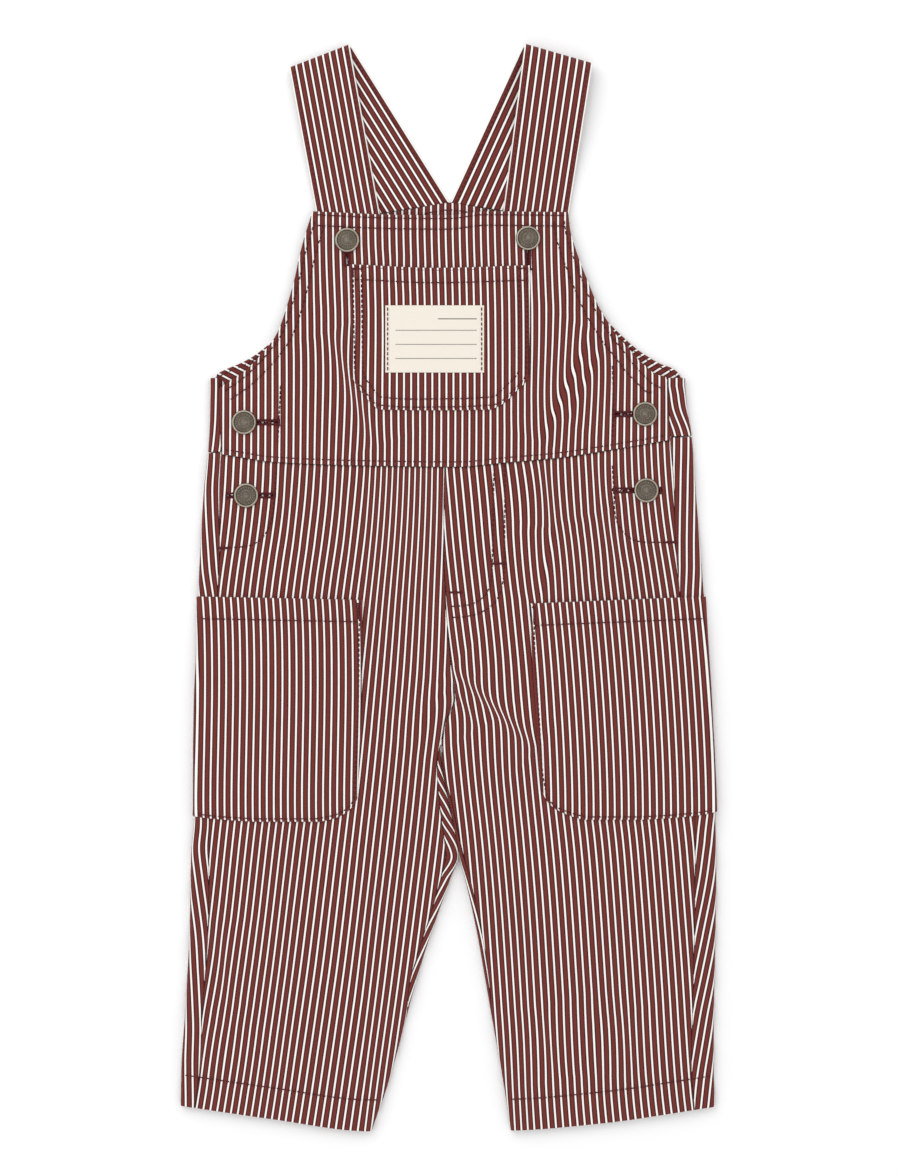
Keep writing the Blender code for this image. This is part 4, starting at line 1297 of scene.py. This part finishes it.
grid, grain = bib_grid(0.0)
cloth(
    "front_bib", lambda offset: bib_grid(offset)[0], grain, TWILL,
    ["front_bib"],
    present=uncut(grid, BIB_HOLES, [BUTTONS[name] for name in BUTTONS if "lower" not in name]))
tacks = [entry for hole in BIB_HOLES for entry in buttonhole(hole, bib_height)]
sew("front_bib_stitching", [on(row, bib_height, -0.08) for row in bib_rows()], tacks)


# ------------------------------------------------------------------ bib pocket
# A patch pocket with two slanted lower corners, hemmed at its mouth and stitched
# to the bib in two rows, with a bar tack at each upper corner.

BIB_POCKET = Table(
    "y left right",
    (101.2, -40.0, 24.0), (103.4, -43.0, 29.0), (107.0, -46.4, 33.8), (110.5, -49.2, 37.2),
    (118.5, -54.4, 44.6), (123.0, -55.3, 45.7), (135, -55.5, 45.8), (150, -55.7, 46.0),
    (166, -56.0, 46.1), (183.4, -56.2, 46.2),
)
BIB_POCKET_MOUTH = Table("x sag", (-56, 0.4), (-8, -1.7), (46, -0.2))
BIB_POCKET_PHASE = 1.1


def bib_pocket_outline(inside):
    """Its sewn edge, from the left of the mouth round to the right, moved inside."""
    y = np.concatenate([np.linspace(181.5, 124, 14), np.linspace(120.0, 102.4, 8)])
    left = np.stack([BIB_POCKET.at("left", y), y], axis=1)
    right = np.stack([BIB_POCKET.at("right", y[::-1]), y[::-1]], axis=1)
    foot = np.array([(-26.0, 100.9), (-8.0, 100.9), (10.0, 101.2)])
    return beside(curve(*left, *foot, *right), inside)


def bib_pocket_hem(below):
    x = np.linspace(-53.6, 43.6, 36)
    return np.stack([x, 183.4 + BIB_POCKET_MOUTH.at("sag", x) - below], axis=1)


def bib_pocket_grid(offset):
    y = np.concatenate([np.linspace(101.2, 124, 20), np.linspace(124, 183.4, 42)[1:]])[:, None]
    left, right = BIB_POCKET.at("left", y), BIB_POCKET.at("right", y)
    x = left + (right - left) * np.linspace(0, 1, 72)
    flat_y = np.broadcast_to(y, x.shape)
    row_y = flat_y + smooth((flat_y - 165) / 18) * BIB_POCKET_MOUTH.at("sag", x)
    row_y = row_y - 0.5 * smooth((104 - flat_y) / 3) * np.cos((x + 8) / 34 * math.pi / 2)
    height = front_height(x, row_y) + POCKET_STAND + offset
    mouth = smooth((x - left) / 10) * smooth((right - x) / 10)
    height += 0.35 * np.exp(-(((183.4 - flat_y) / 8) ** 2)) * mouth
    if offset >= 0:
        height += 0.25 * smooth((7.4 - (183.4 - flat_y)) / 1.2)
        rows = [bib_pocket_outline(1.7), bib_pocket_outline(6.3), bib_pocket_hem(8.5)]
        height -= pressed(x, row_y, rows)
    u = x - drift(x, row_y, BIB_LEAN, ()) + 0.6 * drawn(x, row_y) + BIB_POCKET_PHASE
    return np.stack([x, row_y, height], axis=2), np.stack([u, row_y], axis=2)


cloth(
    "bib_pocket", lambda offset: bib_pocket_grid(offset)[0], bib_pocket_grid(0.0)[1], TWILL,
    ["bib_pocket"])
lies = lambda x, y: front_height(x, y) + POCKET_STAND - 0.14
tacks = [
    bar_tack((-54.8, 181.0), (-50.0, 181.0), lies), bar_tack((-54.6, 181.5), (-54.6, 176.5), lies),
    bar_tack((44.6, 181.2), (39.8, 181.2), lies), bar_tack((44.6, 181.5), (44.6, 173.0), lies),
]
sew(
    "bib_pocket_stitching",
    [on(bib_pocket_outline(1.7), lies), on(bib_pocket_outline(6.3), lies),
     on(bib_pocket_hem(1.5), lies, 0.35), on(bib_pocket_hem(8.5), lies, 0.1)], tacks)


# ------------------------------------------------------------------ label
# A cream woven label, sewn to the bib pocket at its two ends. It is bare but for
# the plain ruled lines of a name tape.

LABEL_BOX = (-36.2, 20.0, 122.1, 160.3)
LABEL_THICK, LABEL_RIB = 0.5, 0.42
RULES = ((30.5, 30.0, 52.0, 0), (24.0, 6.0, 52.0, 1), (16.0, 6.0, 52.0, 1), (8.0, 6.0, 52.0, 1))


def woven_label():
    """Cream satin weave, ribbed across, the ribs painted lighter and darker as light and shade, with fine
    ruled lines woven in.
    """
    made = Making("woven_label", Roughness=0.75, Specular_IOR_Level=0.2)
    across, up = made.mapped("grain")
    rib = (up * (2 * math.pi / LABEL_RIB)).wave() * 0.5 + 0.5
    cross = (across * (2 * math.pi / LABEL_RIB)).wave() * 0.5 + 0.5
    specks = made.noise(made.vector(across / 0.6, up / 0.3), 1.0, 3.0)
    # The weave's ribs and cross threads are painted lighter and darker as light and shade; the specks vary
    # the cream at random.
    base = made.shaded(srgb(238, 231, 218), 0.93 + 0.05 * rib + 0.03 * cross + (specks - 0.5) * 0.12)
    ink = 0.0
    for height, start, end, dashed in RULES:
        line = 1 - (up - height).size().soft_step(0.16, 0.34)
        line = line * across.soft_step(start - 0.2, start + 0.2)
        line = line * (1 - across.soft_step(end - 0.2, end + 0.2))
        if dashed:
            line = line * (((across / 1.6).part() - 0.5).size().soft_step(0.12, 0.2))
        ink = line + ink
    colour = made.mixed(ink, base, srgb(70, 62, 58))
    made.feed(made.shader.inputs["Base Color"], colour)
    made.bump(rib * 0.8 + cross * 0.5 + specks * 0.4, 0.00006)
    return made.material


def label_grid(offset):
    left, right, bottom, top = LABEL_BOX
    x, y = np.meshgrid(np.linspace(left, right, 44), np.linspace(bottom, top, 30))
    ends = np.minimum(x - left, right - x)
    height = front_height(x, y) + POCKET_STAND + SEAM_GAP + LABEL_THICK + offset
    if offset >= 0:
        height = height - 0.22 * np.exp(-(((ends - 1.6) / 0.9) ** 2)) + 0.12 * np.exp(-((ends / 9) ** 2))
    return np.stack([x, y, height], axis=2), np.stack([x - left, y - bottom], axis=2)


cloth(
    "label", lambda offset: label_grid(offset)[0], label_grid(0.0)[1], woven_label(),
    ["label"], thickness=LABEL_THICK)
left, right, bottom, top = LABEL_BOX
on_label = lambda x, y: front_height(x, y) + POCKET_STAND + SEAM_GAP + LABEL_THICK
LABEL_SEAM, LABEL_SEAM_END = 1.4, 0.8
seam_y = np.array([bottom + LABEL_SEAM_END, (bottom + top) / 2, top - LABEL_SEAM_END])
ends = [np.stack([np.full(3, x), seam_y], axis=1) for x in (left + LABEL_SEAM, right - LABEL_SEAM)]
sew("label_stitching", [on(row, on_label, 0.05) for row in ends])


# ------------------------------------------------------------------ straps
# Each strap is a doubled band, sewn to the top of the upper back, folded forward
# at the shoulder and buttoned behind the bib, with both long edges stitched.

STRAP_CLOTH, STRAP_STRIPES = 1.6, 9
STRAPS = {
    "left": dict(
        outer=(-90.6, 296.1), inner=(-56.4, 309.3), radius=2.5, front_end=118.0,
        back_ends=((-38.9, 212.9), (0.2, 219.3)),
    ),
    "right": dict(
        outer=(81.3, 298.2), inner=(42.8, 309.3), radius=4.5, front_end=120.0,
        back_ends=((43.9, 212.1), (0.9, 219.3)),
    ),
}
STRAP_RAMP = (12.0, 74.0)
STRAP_REST = STACK - CLOTH - SEAM_GAP
STRAP_EDGE = 2.2               # from the edge to its row of stitches


def strap_surface(strap, shares, offset):
    """Place on a strap, worked out flat and then bent round its fold.

    Distances b are square to the fold line: up to nought on top, half a turn
    round the fold, then back along the floor. shares run from one long edge to
    the other. Returns the points and their places along and across the band.
    """
    outer, inner = np.array(strap["outer"]), np.array(strap["inner"])
    radius, turn = strap["radius"], math.pi * strap["radius"]
    fold = (inner - outer) / np.linalg.norm(inner - outer)
    beyond = np.array((-fold[1], fold[0])) * (1 if fold[0] > 0 else -1)
    width = float(np.linalg.norm(inner - outer))
    edges = []
    for corner, end in zip((0.0, width), strap["back_ends"]):
        away = np.array(end) - outer
        far = turn - float(away @ beyond) - radius
        slant = (float(away @ fold) - corner) / (far - turn / 2)
        b = np.concatenate([
            np.linspace(-strap["front_end"], 0, 80), np.linspace(0, turn, 15)[1:],
            np.linspace(turn, far, 66)[1:],
        ])
        edges.append((corner + slant * (b - turn / 2), b, slant))
    shares = np.asarray(shares)
    a = edges[0][0][:, None] * (1 - shares) + edges[1][0][:, None] * shares
    b = edges[0][1][:, None] * (1 - shares) + edges[1][1][:, None] * shares
    angle = np.clip(b / radius, 0, math.pi)
    reach = np.where(b < 0, b, np.where(b > turn, turn - b, (radius + offset) * np.sin(angle)))
    down = smooth((-b - STRAP_RAMP[0]) / (STRAP_RAMP[1] - STRAP_RAMP[0]))
    height = radius + (radius + offset) * np.cos(angle) - down * (2 * radius - STRAP_REST)
    sides = np.abs(shares * 2 - 1)
    if offset >= 0:
        height = height - 0.25 * np.exp(-(((1 - sides) * width / 2 - STRAP_EDGE) / 1.0) ** 2) * (b < 0)
    plan = outer + a[..., None] * fold + (reach - radius)[..., None] * beyond
    slant = (edges[0][2] + edges[1][2]) / 2
    u = np.broadcast_to(shares * STRAP_STRIPES * STRIPE_REPEAT + STRIPE_REPEAT / 2, b.shape)
    grain = np.stack([u, b * math.hypot(1, slant)], axis=2)
    return np.concatenate([plan, height[..., None]], axis=2), grain, b


for side, strap in STRAPS.items():
    shares = np.linspace(0, 1, 28)
    turn = math.pi * strap["radius"]
    cloth(
        f"strap_{side}", lambda offset, strap=strap: strap_surface(strap, shares, offset)[0],
        strap_surface(strap, shares, 0.0)[1], TWILL,
        [f"strap_{side}"], thickness=STRAP_CLOTH)
    edge_shares = (STRAP_EDGE / 36, 1 - STRAP_EDGE / 36)
    face, _, b = strap_surface(strap, edge_shares, 0.0)
    lining, _, _ = strap_surface(strap, edge_shares, -STRAP_CLOTH)
    front_rows = [face[b[:, k] < 0.2, k] - (0, 0, 0.1) for k in (0, 1)]
    back_rows = [lining[b[:, k] > turn, k] + (0, 0, 0.02) for k in (0, 1)]
    floor_rows = [face[b[:, k] > turn, k] + (0, 0, 0.16) for k in (0, 1)]
    sew(f"strap_{side}_stitching", front_rows + back_rows)
    sew(f"strap_{side}_stitching_beneath", floor_rows, up=-1.0)


# ------------------------------------------------------------------ buttons
# Tack buttons of antique nickel: a raised rim, a sunken ring with plain radial
# marks between two fine beads, and a domed middle. The shank goes through the
# buttonhole.

BUTTON_PROFILE = Table(
    "step radius height",
    (0, 0.02, -1.3), (1, 1.8, -1.3), (2, 1.8, 0.0), (3, 6.0, 0.0), (4, 6.75, 0.25), (5, 7.0, 0.85),
    (6, 6.85, 1.45), (7, 6.45, 1.85), (8, 6.05, 1.85), (9, 5.75, 1.55), (10, 5.5, 1.2), (11, 5.3, 1.32),
    (12, 5.1, 1.2), (13, 4.0, 1.15), (14, 3.2, 1.2), (15, 3.0, 1.42), (16, 2.75, 1.45), (17, 2.55, 1.2),
    (18, 2.2, 1.22), (19, 1.4, 1.3), (20, 0.6, 1.36), (21, 0.02, 1.38),
)
BUTTON_SIDES, BUTTON_MARKS = 120, 20


def antique_nickel():
    """Nickel worn bright on what stands proud, with dark patina in the recesses."""
    made = Making("antique_nickel", Metallic=1.0, Roughness=0.4)
    _, height = made.mapped("turning")
    place = made.node("ShaderNodeTexCoord", {}, {}, output=3)
    patina = made.noise(place, 900.0, 4.0)
    spots = made.noise(place, 260.0, 3.0)
    proud = (height + (patina - 0.5) * 0.5).soft_step(1.15, 1.8)
    colour = made.mixed(proud, srgb(104, 95, 85), srgb(178, 168, 152))
    colour = made.shaded(colour, 0.9 + (spots - 0.5) * 0.5)
    made.feed(made.shader.inputs["Base Color"], colour)
    made.feed(made.shader.inputs["Roughness"], 0.5 - 0.16 * proud + (patina - 0.5) * 0.2)
    made.bump(patina * 0.6 + spots, 0.00005)
    return made.material


def button_points(at, turned):
    """A turned shape: the profile's radius and height carried round a circle."""
    steps = np.concatenate([[0, 1, 2, 3], np.arange(3.25, 21.01, 0.25)])
    radius = BUTTON_PROFILE.at("radius", steps)[:, None]
    height = BUTTON_PROFILE.at("height", steps)[:, None]
    angle = np.linspace(0, 2 * math.pi, BUTTON_SIDES, endpoint=False) + turned
    marks = np.clip(np.sin((angle - turned) * BUTTON_MARKS) * 2.2, -0.2, 1.0)
    band = np.exp(-(((radius - 4.15) / 0.75) ** 4)) * (steps[:, None] > 10)
    lifted = height + 0.28 * band * np.clip(marks, 0, 1)
    points = np.stack([
        at[0] + radius * np.cos(angle), at[1] + radius * np.sin(angle),
        STACK + SEAM_GAP + lifted + 0 * angle,
    ], axis=2)
    maps = np.stack(np.broadcast_arrays(radius + 0 * angle, lifted + 0 * angle), axis=2)
    return points, maps


nickel = antique_nickel()
for number, (name, at) in enumerate(BUTTONS.items()):
    points, maps = button_points(at, 0.37 * number)
    rings, sides, _ = points.shape
    index = np.arange(rings * sides).reshape(rings, sides)
    after = np.roll(index, -1, axis=1)
    quads = np.stack([index[:-1], after[:-1], after[1:], index[1:]], axis=2).reshape(-1, 4)
    ends = np.concatenate([index[0, ::-1], index[-1]]).reshape(2, sides)
    fans = [row[[0, k, k + 1, k + 2]] for row in ends for k in range(1, sides - 2, 2)]
    button = put(
        f"button_{name}", points.reshape(-1, 3), np.concatenate([quads, np.array(fans)]),
        nickel, {"turning": maps.reshape(-1, 2)}, sharp=45.0)
    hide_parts(f"button_{name}")
